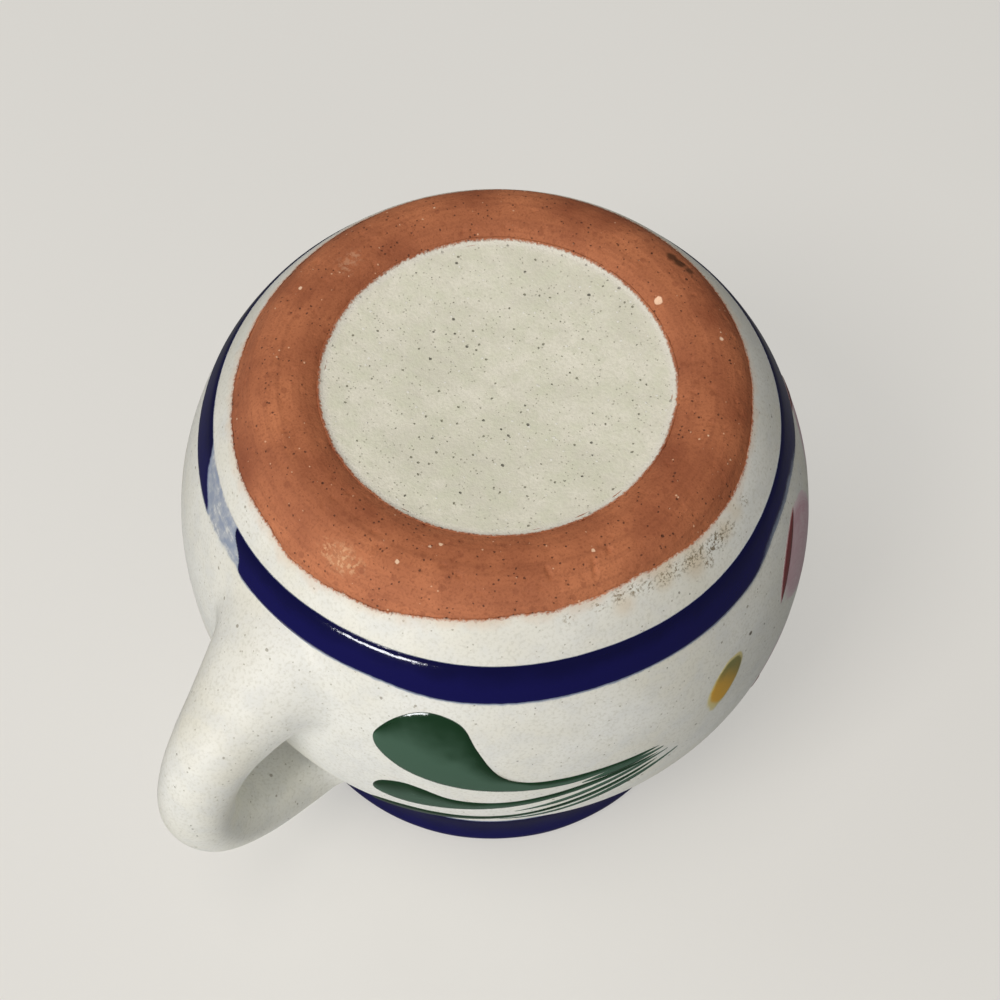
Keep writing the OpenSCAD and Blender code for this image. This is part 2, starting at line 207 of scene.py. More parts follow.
@dataclass(frozen=True)
class MugForm:
    """The thrown form in mm: one clay line from the base's middle round the wall to the bowl's."""

    belly_r: float
    recess_r: float
    belly_z: float = 34.0
    foot_r: float = 31.5
    low_power: float = 2.15
    neck_r: float = 33.7
    neck_z: float = 75.5
    neck_drop: float = 5.5
    neck_power: float = 1.1
    lip_flare: float = 1.0
    lip_z: float = 79.4
    lip_round: float = 1.6
    coats_t: float = 4.5
    glaze_t: float = 0.35
    recess_edge_z: float = 1.6
    dish_rise: float = 1.4
    foot_round: float = 6.0
    ring_out_r: float = 28.22
    ring_out_turn: float = 51.9
    touch_w: float = 1.3
    glaze_edge_z: float = 4.5
    bowl_top_z: float = 22.0
    bowl_round: float = 14.0
    oval: float = 0.2
    lip_dip: float = 0.22
    foot_rock: float = 0.07
    foot_rock_z: float = 6.0
    coat_swell: float = 0.012
    coat_ripple: float = 0.008
    step: float = 0.1
    soft_rows: int = 5
    samples: tuple[int, ...] = (50, 30, 30, 400, 40, 200, 80)

    def skin_r(self, z: Number) -> Number:
        """Give the outer radius of the glazed wall at each height."""
        low = np.clip((self.belly_z - z) / self.belly_z, 0, 1)
        climb = np.clip((z - self.belly_z) / (self.neck_z - self.belly_z), 0, 1) ** self.neck_power
        lip = np.clip((z - self.neck_z) / self.neck_drop, 0, None)
        below = self.belly_r - (self.belly_r - self.foot_r) * low ** self.low_power
        shoulder = self.neck_r + (self.belly_r - self.neck_r) * (1 + np.cos(math.pi * climb)) / 2
        return np.where(z < self.belly_z, below, shoulder + self.lip_flare * lip ** 2)

    def clay_rows(self) -> np.ndarray:
        """Join dish, foot ring, wall, lip, inside and bowl into rows of radius and height."""
        dish_n, inner_n, outer_n, wall_n, lip_n, inside_n, bowl_n = self.samples
        edge_z, coat, half = self.recess_edge_z, self.glaze_t, self.coats_t / 2
        dish_r = np.linspace(0, self.recess_r, dish_n)
        dish = dish_r, edge_z + self.dish_rise * (1 - (dish_r / self.recess_r) ** 2)
        touch_r = self.ring_out_r - self.touch_w
        inner_round = ((touch_r - self.recess_r) ** 2 + edge_z ** 2) / (2 * edge_z)
        turn = np.linspace(math.acos(1 - edge_z / inner_round), 0, inner_n)
        inner = touch_r - inner_round * np.sin(turn), inner_round * (1 - np.cos(turn))
        turn = np.linspace(0, math.radians(self.ring_out_turn), outer_n)
        outer = (self.ring_out_r + self.foot_round * np.sin(turn),
                 self.foot_round * (1 - np.cos(turn)))
        z = np.linspace(self.glaze_edge_z, self.lip_z, wall_n)
        slope = np.gradient(self.skin_r(z), z)
        tilt = np.hypot(1, slope)
        wall = self.skin_r(z) - coat / tilt, z + coat * slope / tilt
        turn = np.linspace(0, math.pi, lip_n)[1:-1]
        lip_r = float(self.skin_r(self.lip_z)) - half
        lip = (lip_r + (half - coat) * np.cos(turn),
               self.lip_z + (self.lip_round - coat) * np.sin(turn))
        z = np.linspace(self.lip_z, self.bowl_top_z, inside_n)
        inside = self.skin_r(z) - self.coats_t + coat, z
        turn = np.linspace(0, math.pi / 2, bowl_n)
        bowl = (inside[0][-1] * np.cos(turn),
                self.bowl_top_z - (self.bowl_round + coat) * np.sin(turn))
        return np.hstack((dish, inner, outer, wall, lip, inside, bowl)).T

    @cached_property
    def line(self) -> dict[str, np.ndarray]:
        """Work out the clay line: its length so far, radius, height and outward direction."""
        whole = self.clay_rows()
        whole = whole[np.append(True, np.diff(length_so_far(whole)) > self.step / 50)]
        even = evenly(whole, int(length_so_far(whole)[-1] / self.step))
        window = np.hanning(2 * self.soft_rows + 3)
        soft = np.pad(even, ((self.soft_rows, self.soft_rows), (0, 0)), mode="edge")
        soft = np.stack([np.convolve(column, window[1:-1] / window.sum(), "valid")
                         for column in soft.T], 1)
        soft[0], soft[-1] = even[0], even[-1]
        along = np.gradient(soft, axis=0)
        along /= np.linalg.norm(along, axis=1)[:, None]
        along[0], along[-1] = (1, 0), (-1, 0)
        return {"s": length_so_far(soft), "r": soft[:, 0], "z": soft[:, 1],
                "out_r": along[:, 1], "out_z": -along[:, 0]}

    def read(self, what: str, s: Number) -> Number:
        """Read "r", "z", "out_r" or "out_z" at places along the clay line."""
        return np.interp(s, self.line["s"], self.line[what])

    @cached_property
    def top_s(self) -> float:
        """Find the lip's highest place on the clay line."""
        return float(self.line["s"][np.argmax(self.line["z"])])

    @cached_property
    def height_at_lip(self) -> float:
        """Give the height of the coated lip."""
        return float(self.line["z"].max()) + self.glaze_t

    @cached_property
    def end_s(self) -> float:
        """Give the clay line's whole length."""
        return float(self.line["s"][-1])

    def s_at_z(self, z: Number, inside: bool = False) -> Number:
        """Find heights on the outer wall, or inside the bowl, along the clay line."""
        s, height = self.line["s"], self.line["z"]
        if inside:
            span = s >= self.top_s
            return np.interp(z, height[span][::-1], s[span][::-1])
        span = (s <= self.top_s) & (self.line["r"] > self.ring_out_r)
        return np.interp(z, height[span], s[span])

    def s_at_r(self, r: Number) -> Number:
        """Find radii on the underside along the clay line."""
        span = self.line["s"] < self.s_at_z(self.belly_z)
        return np.interp(r, self.line["r"][span], self.line["s"][span])

    def warp(self, points: np.ndarray) -> np.ndarray:
        """Bend points the way a hand-thrown mug is uneven: oval, a dipping lip, a rocking foot.

        Args:
            points: Rows of x, y, z in mm.

        Returns:
            The bent rows in mm.
        """
        x, y, z = np.moveaxis(points, -1, 0)
        theta = np.arctan2(y, x)
        squeeze = 1 - self.oval * (1 - np.cos(2 * theta)) / (2 * self.belly_r)
        dip = self.lip_dip * (1 - np.cos(theta)) / 2 * (np.clip(z, 0, None) / self.lip_z) ** 2
        low = np.clip(1 - z / self.foot_rock_z, 0, 1)
        rock = self.foot_rock * (1 + np.cos(3 * theta + 2)) * low
        return np.stack((x * squeeze, y * squeeze, z - dip + rock), -1)

    def turned_place(self, theta: Number, s: Number, lift: Number) -> np.ndarray:
        """Find points on or over the clay of a perfectly turned mug, in mm."""
        r = self.read("r", s) + lift * self.read("out_r", s)
        z = self.read("z", s) + lift * self.read("out_z", s)
        return np.stack((r * np.cos(theta), r * np.sin(theta), z), -1)

    def place(self, theta: Number, s: Number, lift: Number) -> np.ndarray:
        """Find points on or over the clay.

        Args:
            theta: Turns about the axis in radians, 0 towards the handle.
            s: Places along the clay line in mm.
            lift: Heights over the clay in mm.

        Returns:
            Rows of x, y, z in metres.
        """
        return self.warp(self.turned_place(theta, s, lift)) * MM

    def coat_lift(self, theta: Number, s: Number) -> Number:
        """Give the glaze's face over the clay in mm, a little uneven as a dipped coat is."""
        slow = (np.sin(3 * theta + s / 11) + np.sin(5 * theta - s / 7 + 1.3)
                + np.sin(9 * theta + s / 5 + 0.4))
        fast = np.sin(s / 1.9 + 2 * np.sin(theta))
        return self.glaze_t + self.coat_swell * slow + self.coat_ripple * fast

    def flat_to_wall(self, x: np.ndarray, z: np.ndarray, swing: float) -> Edge:
        """Carry a flat drawing onto the outer wall, seen square on.

        Args:
            x: Places sideways in mm, positive towards larger turns.
            z: Heights in mm.
            swing: Turn of the drawing's middle in degrees.

        Returns:
            Turns in radians and places along the clay line in mm.
        """
        side = np.arcsin(np.clip(x / self.skin_r(z), -1, 1))
        return math.radians(swing) + side, self.s_at_z(z)


def read_layer(bm: Mesh, name: str) -> np.ndarray:
    """Read a number kept at every vertex."""
    layer = bm.verts.layers.float[name]
    return np.array([v[layer] for v in bm.verts])


def write_layer(bm: Mesh, name: str, values: np.ndarray) -> None:
    """Keep a number at every vertex, under a name that materials can read."""
    layer = bm.verts.layers.float.new(name)
    for vert, value in zip(bm.verts, values):
        vert[layer] = value


def move_verts(bm: Mesh, points: np.ndarray) -> None:
    """Move every vertex to its own point in metres."""
    for vert, point in zip(bm.verts, points):
        vert.co = point


def mesh_object(bm: Mesh, name: str, material: Material) -> Piece:
    """Make a finished mesh an object of the scene, with its material."""
    mesh = bpy.data.meshes.new(name)
    bm.to_mesh(mesh)
    bm.free()
    mesh.materials.append(material)
    made = bpy.data.objects.new(name, mesh)
    bpy.context.scene.collection.objects.link(made)
    return made


def finish_piece(bm: Mesh, name: str, node: str, material: Material) -> Piece:
    """Close a mesh, turn it outward, and make it the piece that stands for a CAD node.

    Args:
        bm: The mesh, with its places already in metres.
        name: Name of the new object.
        node: CAD node that it replaces.
        material: Finish of the piece.

    Returns:
        The new object.
    """
    bmesh.ops.remove_doubles(bm, verts=bm.verts[:], dist=MERGE)
    bmesh.ops.delete(bm, geom=[edge for edge in bm.edges if edge.is_wire], context="EDGES")
    bmesh.ops.recalc_face_normals(bm, faces=bm.faces[:])
    if bm.calc_volume(signed=True) < 0:
        bmesh.ops.reverse_faces(bm, faces=bm.faces[:])
    if not all(edge.is_manifold for edge in bm.edges):
        LOG.warning("%s isn't closed", name)
    for face in bm.faces:
        face.smooth = True
    piece = mesh_object(bm, name, material)
    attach(piece, "root")
    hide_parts(node)
    return piece


def turned(form: MugForm, rows: Sequence[tuple[float, float]],
           wedge_steps: int) -> tuple[Mesh, np.ndarray, np.ndarray, np.ndarray]:
    """Spin a line round the mug's axis.

    One wedge is spun and then doubled until it closes, which is far quicker than one long spin.

    Args:
        form: The thrown form.
        rows: Place along the clay line and lift over it in mm, for each row.
        wedge_steps: Steps of the wedge.

    Returns:
        The turned mesh, and each vertex's turn in radians, place along the line and lift in mm.
    """
    bm = bmesh.new()
    row_layer = bm.verts.layers.float.new("row")
    lift_layer = bm.verts.layers.float.new("lift")
    line = []
    for row, lift in rows:
        vert = bm.verts.new(Vector(form.place(0.0, row, lift)))
        vert[row_layer], vert[lift_layer] = row, lift
        line.append(vert)
    edges = [bm.edges.new(pair) for pair in zip(line, line[1:])]
    wedge = 2 * math.pi / 2 ** DOUBLINGS
    bmesh.ops.spin(bm, geom=line + edges, cent=(0, 0, 0), axis=(0, 0, 1), dvec=(0, 0, 0),
                   angle=wedge, steps=wedge_steps, use_merge=False, use_duplicate=False)
    for _ in range(DOUBLINGS):
        copied = bmesh.ops.duplicate(bm, geom=bm.verts[:] + bm.edges[:] + bm.faces[:])["geom"]
        verts = [part for part in copied if isinstance(part, bmesh.types.BMVert)]
        bmesh.ops.rotate(bm, verts=verts, cent=(0, 0, 0), matrix=Matrix.Rotation(wedge, 3, "Z"))
        wedge *= 2
    bmesh.ops.remove_doubles(bm, verts=bm.verts[:], dist=WELD)
    theta = np.array([math.atan2(v.co.y, v.co.x) for v in bm.verts])
    return bm, theta, read_layer(bm, "row"), read_layer(bm, "lift")


def lay_tints(tree: Tree, colour: Socket | Colour,
              tints: Iterable[tuple[Socket, float, float, float, str]]) -> Socket:
    """Lay tints over a colour, each where its own pattern is strong.

    Args:
        tree: Material tree.
        colour: Colour under the tints.
        tints: Pattern, its values where the tint starts and is full, its strength and its colour.

    Returns:
        The tinted colour.
    """
    for pattern, low, high, strength, hex_colour in tints:
        mask = add_node(tree, "ShaderNodeMapRange", {
            "Value": pattern, "From Min": low, "From Max": high, "To Max": strength})
        colour = add_node(tree, "ShaderNodeMix", {
            0: mask.outputs[0], 6: colour, 7: linear(hex_colour)}, data_type="RGBA").outputs[2]
    return colour


def add_up(tree: Tree, parts: Iterable[tuple[Socket, float]],
           start: Socket | float = 0.0) -> Socket:
    """Add patterns to a value, each with its own weight.

    Args:
        tree: Material tree.
        parts: Pattern and weight, which for a relief is its height in metres.
        start: Value that they are added to.

    Returns:
        The sum.
    """
    for pattern, weight in parts:
        start = add_node(tree, "ShaderNodeMath", {0: pattern, 1: weight, 2: start},
                         operation="MULTIPLY_ADD").outputs[0]
    return start


@dataclass(frozen=True)
class Specks:
    """Grit, pores or pinholes scattered through a surface, sized in mm."""

    apart_mm: float
    radius_mm: float
    share: float
    colour: str
    strength: float = 0.8
    depth_mm: float = 0.0
    rarest: float = 1.5
    fullest: float = 1.9
    crowd_size: float = 5.0
    edge: float = 0.35

    def mask(self, tree: Tree, coords: Socket) -> Socket:
        """Draw the specks: 1 inside a speck and 0 around it.

        Args:
            tree: Material tree.
            coords: Coordinates in metres.

        Returns:
            The mask.
        """
        apart, reach = self.apart_mm * MM, self.radius_mm / self.apart_mm
        cells = add_node(tree, "ShaderNodeTexVoronoi", {"Vector": coords, "Scale": 1 / apart})
        pick = add_node(tree, "ShaderNodeSeparateColor", {"Color": cells.outputs["Color"]})
        crowd = add_node(tree, "ShaderNodeTexNoise", {
            "Vector": coords, "Scale": 1 / (self.crowd_size * apart), "Detail": 1.0})
        chance = add_up(tree, [(crowd.outputs[0], 1.0)], pick.outputs["Red"])
        size = add_node(tree, "ShaderNodeMapRange", {
            "Value": chance, "From Min": self.rarest - self.share,
            "From Max": self.fullest - self.share, "To Max": reach})
        inside = add_node(tree, "ShaderNodeMath", {
            0: size.outputs[0], 1: cells.outputs["Distance"]}, operation="SUBTRACT")
        return add_node(tree, "ShaderNodeMapRange", {
            "Value": inside.outputs[0], "From Max": self.edge * reach},
            interpolation_type="SMOOTHSTEP").outputs[0]

    def scatter(self, tree: Tree, coords: Socket, colour: Socket,
                relief: Socket) -> tuple[Socket, Socket]:
        """Lay the specks over a colour and sink or raise them in a relief.

        Args:
            tree: Material tree.
            coords: Coordinates in metres.
            colour: Colour without them.
            relief: Height in metres without them.

        Returns:
            The colour and the height with them.
        """
        mask = self.mask(tree, coords)
        colour = lay_tints(tree, colour, [(mask, 0.0, 1.0, self.strength, self.colour)])
        if self.depth_mm:
            relief = add_up(tree, [(mask, -self.depth_mm * MM)], relief)
        return colour, relief


@dataclass(frozen=True)
class Blot:
    """One stain, chip or scuff: at a radius under the clay foot, or at a height on the glaze."""

    theta: float
    at_mm: float
    radius_mm: float
    colour: str
    strength: float = 1.0
    soft: float = 0.4
    crumbly: bool = False
    on_glaze: bool = False
    crumb_from: float = 0.5
    crumb_full: float = 0.6

    def paint(self, tree: Tree, coords: Socket, crumbs: Socket, colour: Socket,
              form: MugForm) -> Socket:
        """Lay the blot over a colour.

        Args:
            tree: Material tree.
            coords: Roughened coordinates in metres.
            crumbs: Fine noise that a crumbly blot breaks up into.
            colour: Colour under the blot.
            form: The thrown form that gives its place.

        Returns:
            The colour with the blot on it.
        """
        s = form.s_at_z(self.at_mm) if self.on_glaze else form.s_at_r(self.at_mm)
        place = form.place(math.radians(self.theta), s, form.glaze_t if self.on_glaze else 0.0)
        away = add_node(tree, "ShaderNodeVectorMath", {0: coords, 1: tuple(place)},
                        operation="DISTANCE")
        mask = add_node(tree, "ShaderNodeMapRange", {
            "Value": away.outputs["Value"], "From Min": self.radius_mm * MM,
            "From Max": self.radius_mm * (1 - self.soft) * MM, "To Max": self.strength},
            interpolation_type="SMOOTHSTEP")
        if self.crumbly:
            broken = add_node(tree, "ShaderNodeMapRange", {
                "Value": crumbs, "From Min": self.crumb_from, "From Max": self.crumb_full})
            mask = add_node(tree, "ShaderNodeMath", {
                0: mask.outputs[0], 1: broken.outputs[0]}, operation="MULTIPLY")
        return add_node(tree, "ShaderNodeMix", {
            0: mask.outputs[0], 6: colour, 7: linear(self.colour)}, data_type="RGBA").outputs[2]


def rough_coords(tree: Tree, size_mm: float, shift_mm: float) -> tuple[Socket, Socket]:
    """Give Object coordinates, plain and with a ragged shift.

    Args:
        tree: Material tree.
        size_mm: Size of the raggedness.
        shift_mm: How far it moves the pattern.

    Returns:
        The plain and the ragged coordinates.
    """
    plain = add_node(tree, "ShaderNodeTexCoord").outputs["Object"]
    clouds = add_node(tree, "ShaderNodeTexNoise", {
        "Vector": plain, "Scale": 1 / (size_mm * MM), "Detail": 3.0})
    centred = add_node(tree, "ShaderNodeVectorMath", {
        0: clouds.outputs["Color"], 1: (0.5, 0.5, 0.5)}, operation="SUBTRACT")
    ragged = add_node(tree, "ShaderNodeVectorMath", {
        0: centred.outputs[0], 1: (2 * shift_mm * MM,) * 3, 2: plain}, operation="MULTIPLY_ADD")
    return plain, ragged.outputs[0]


def new_material(name: str) -> tuple[Material, Tree]:
    """Make a material with an empty tree."""
    material = bpy.data.materials.new(name)
    return material, empty_tree(material)


@dataclass(frozen=True)
class Look:
    """What one finish hands to the shader: its colour, roughness and height in metres."""

    colour: Socket | Colour
    roughness: Socket | float
    height: Socket

    def covered(self, tree: Tree, top: "Look", cover: Socket) -> "Look":
        """Cover this look with another.

        Args:
            tree: Material tree of both.
            top: The look that covers it.
            cover: 0 where this look shows, 1 where the other does.

        Returns:
            The mixed look.
        """
        colour = add_node(tree, "ShaderNodeMix", {0: cover, 6: self.colour, 7: top.colour},
                          data_type="RGBA").outputs[2]
        roughness, height = (add_node(tree, "ShaderNodeMix", {0: cover, 2: low, 3: high}).outputs[0]
                             for low, high in ((self.roughness, top.roughness),
                                               (self.height, top.height)))
        return Look(colour, roughness, height)

    def shade(self, tree: Tree, ior: float, specular: float) -> None:
        """Hand the look to a surface shader.

        Args:
            tree: Material tree that the look was drawn in.
            ior: Index of refraction.
            specular: Level of the mirror-like reflection, 0.5 for a clean surface.
        """
        bump = add_node(tree, "ShaderNodeBump", {"Height": self.height, "Distance": 1.0})
        surface = add_node(tree, "ShaderNodeBsdfPrincipled", {
            "Base Color": self.colour, "Roughness": self.roughness, "Normal": bump.outputs[0],
            "IOR": ior, "Specular IOR Level": specular})
        add_node(tree, "ShaderNodeOutputMaterial", {"Surface": surface.outputs[0]})


@dataclass(frozen=True)
class Terracotta:
    """Low-fired red earthenware, trimmed, sponged and left bare."""

    # To the eye: a warm, dry, gritty red with pores, pale grog and fine turning lines, no gloss.
    # The pores' dark colour is partly their own and partly painted shade in the pits.
    light: str = "#c47a52"
    deep: str = "#985638"
    grain: str = "#7c432b"
    roughness: float = 0.82
    roughness_spread: float = 0.1
    ior: float = 1.5
    specular: float = 0.35
    fire_mm: float = 11.0
    drift_mm: float = 3.0
    turning_mm: float = 1.1
    grit_mm: float = 0.32
    grit_shift_mm: float = 0.13
    relief_mm: float = 0.07
    blot_mm: float = 0.9
    blot_shift_mm: float = 0.25
    crumb_mm: float = 0.6
    # The dark specks that sink are pores, their dark colour partly their own and partly painted
    # shade.
    specks: tuple[Specks, ...] = (
        Specks(1.5, 0.55, 0.55, "#87492f", 0.4), Specks(0.62, 0.17, 0.5, "#552f20", 0.8, 0.06),
        Specks(1.6, 0.24, 0.35, "#472619", 0.85, 0.12),
        Specks(0.95, 0.17, 0.4, "#e6b794", 0.8, -0.03),
        Specks(2.3, 0.26, 0.3, "#f0c9a8", 0.9, -0.05))

    def look(self, tree: Tree) -> Look:
        """Draw the clay.

        Args:
            tree: Material tree.

        Returns:
            Its colour, roughness and height.
        """
        plain, ragged = rough_coords(tree, self.grit_mm, self.grit_shift_mm)
        flat = add_node(tree, "ShaderNodeVectorMath", {0: plain, 1: (1.0, 1.0, 0.0)},
                        operation="MULTIPLY")
        radius = add_node(tree, "ShaderNodeVectorMath", {0: flat.outputs[0]}, operation="LENGTH")
        height = add_node(tree, "ShaderNodeSeparateXYZ", {0: plain})
        broad = add_node(tree, "ShaderNodeTexNoise", {
            "Vector": plain, "Scale": 1 / (self.fire_mm * MM), "Detail": 4.0}).outputs[0]
        turned_at = add_node(tree, "ShaderNodeCombineXYZ", {
            0: radius.outputs["Value"], 1: height.outputs["Z"],
            2: add_up(tree, [(broad, self.drift_mm * MM)])}).outputs[0]
        rings, fine = (add_node(tree, "ShaderNodeTexNoise", {
            "Vector": coords, "Scale": 1 / (size * MM), "Detail": detail, "Roughness": rough})
            .outputs[0] for coords, size, detail, rough in (
                (turned_at, self.turning_mm, 4.0, 0.6), (plain, self.grit_mm, 3.0, 0.5)))
        colour = lay_tints(tree, linear(self.deep), (
            (broad, 0.32, 0.68, 1.0, self.light), (rings, 0.45, 0.7, 0.35, self.grain),
            (fine, 0.5, 0.75, 0.5, self.grain)))
        relief = add_up(tree, ((fine, self.relief_mm * MM), (rings, self.relief_mm * MM)))
        for specks in self.specks:
            colour, relief = specks.scatter(tree, ragged, colour, relief)
        rough = add_node(tree, "ShaderNodeMapRange", {
            "Value": fine, "To Min": self.roughness - self.roughness_spread,
            "To Max": self.roughness + self.roughness_spread})
        return Look(colour, rough.outputs[0], relief)

    def material(self, name: str, form: MugForm, blots: Iterable[Blot] = ()) -> Material:
        """Make the bare clay's material.

        Args:
            name: Name of the finish.
            form: The thrown form that places the blots.
            blots: Stains and chips on it.

        Returns:
            The material.
        """
        material, tree = new_material(name)
        look = self.look(tree)
        plain, ragged = rough_coords(tree, self.blot_mm, self.blot_shift_mm)
        crumbs = add_node(tree, "ShaderNodeTexNoise", {
            "Vector": plain, "Scale": 1 / (self.crumb_mm * MM), "Detail": 4.0}).outputs[0]
        colour = look.colour
        for blot in blots:
            colour = blot.paint(tree, ragged, crumbs, colour, form)
        replace(look, colour=colour).shade(tree, self.ior, self.specular)
        return material


@dataclass(frozen=True)
class TinGlaze:
    """Opaque white tin glaze, dipped and fired on red clay."""

    # To the eye: a soft satin white, a little warm and cool in clouds, with iron specks, pinholes
    # and a faint peel, and at the wiped hem a sandy edge that the clay shows through.
    white: str = "#ebebe4"
    warm: str = "#e0ddcd"
    cool: str = "#dcddd9"
    grain: str = "#c9c7b9"
    hem_tint: str = "#dcc3aa"
    roughness: float = 0.5
    ior: float = 1.5
    specular: float = 0.32
    broad_mm: float = 16.0
    cloud_mm: float = 3.5
    peel_mm: float = 1.6
    sand_mm: float = 0.42
    relief_mm: float = 0.012
    pinhole_mm: float = 0.34
    pinhole_shift_mm: float = 0.12
    hem_step_mm: float = 0.03
    hem_cloud_mm: float = 2.6
    hem_blot_mm: float = 1.4
    hem_blot_shift_mm: float = 0.3
    specks: tuple[Specks, ...] = (
        Specks(1.9, 0.3, 0.45, "#8b8370", 0.7), Specks(0.8, 0.16, 0.5, "#a7a190", 0.65, 0.03),
        Specks(1.3, 0.2, 0.3, "#6f6858", 0.7, 0.03), Specks(4.5, 0.4, 0.3, "#a98a6c", 0.5))

    def look(self, tree: Tree) -> Look:
        """Draw the glaze.

        Args:
            tree: Material tree.

        Returns:
            Its colour, roughness and height.
        """
        plain, ragged = rough_coords(tree, self.pinhole_mm, self.pinhole_shift_mm)
        broad, cloud, peel, sand = (add_node(tree, "ShaderNodeTexNoise", {
            "Vector": plain, "Scale": 1 / (size * MM), "Detail": detail}).outputs[0]
            for size, detail in ((self.broad_mm, 3.0), (self.cloud_mm, 4.0), (self.peel_mm, 2.0),
                                 (self.sand_mm, 3.0)))
        colour = lay_tints(tree, linear(self.white), (
            (broad, 0.4, 0.7, 0.8, self.warm), (cloud, 0.45, 0.75, 0.7, self.cool),
            (sand, 0.48, 0.72, 0.5, self.grain)))
        relief = add_up(tree, ((peel, self.relief_mm * MM), (sand, self.relief_mm * MM)))
        for specks in self.specks:
            colour, relief = specks.scatter(tree, ragged, colour, relief)
        rough = add_node(tree, "ShaderNodeMapRange", {
            "Value": cloud, "To Min": self.roughness - 0.08, "To Max": self.roughness + 0.1})
        return Look(colour, rough.outputs[0], relief)

    def material(self, name: str) -> Material:
        """Make the plain glaze's material."""
        material, tree = new_material(name)
        self.look(tree).shade(tree, self.ior, self.specular)
        return material

    def hem_material(self, name: str, clay: Terracotta, form: MugForm,
                     blots: Iterable[Blot]) -> Material:
        """Make the glaze that thins out over the clay at its wiped hem.

        The piece keeps the distance from the hem in mm in its layer "hem".

        Args:
            name: Name of the finish.
            clay: Finish of the clay that shows through.
            form: The thrown form that places the blots.
            blots: Stains on the glaze.

        Returns:
            The material.
        """
        material, tree = new_material(name)
        over, under = self.look(tree), clay.look(tree)
        plain, ragged = rough_coords(tree, self.hem_blot_mm, self.hem_blot_shift_mm)
        hem = add_node(tree, "ShaderNodeAttribute", attribute_name="hem").outputs["Fac"]
        crumbs, spread = (add_node(tree, "ShaderNodeTexNoise", {
            "Vector": plain, "Scale": 1 / (size * MM), "Detail": 4.0, "Roughness": rough})
            .outputs[0] for size, rough in ((self.sand_mm, 0.65), (self.hem_cloud_mm, 0.5)))
        # Each row: pattern, how far it shifts the edge in mm, the distances from the hem in mm
        # where the change starts and ends, and the values there.
        cover, thin = (add_node(tree, "ShaderNodeMapRange", {
            "Value": add_up(tree, [(pattern, reach)], hem), "From Min": start, "From Max": full,
            "To Min": at_hem, "To Max": inland}, interpolation_type="SMOOTHSTEP").outputs[0]
            for pattern, reach, start, full, at_hem, inland in (
                (crumbs, 1.3, 0.62, 1.15, 0.0, 1.0), (spread, 3.0, 1.2, 3.4, 0.55, 0.0)))
        colour = add_node(tree, "ShaderNodeMix", {
            0: thin, 6: over.colour, 7: linear(self.hem_tint)}, data_type="RGBA").outputs[2]
        for blot in blots:
            colour = blot.paint(tree, ragged, crumbs, colour, form)
        look = under.covered(tree, replace(over, colour=colour), cover)
        stepped = add_up(tree, [(cover, self.hem_step_mm * MM)], look.height)
        replace(look, height=stepped).shade(tree, self.ior, self.specular)
        return material


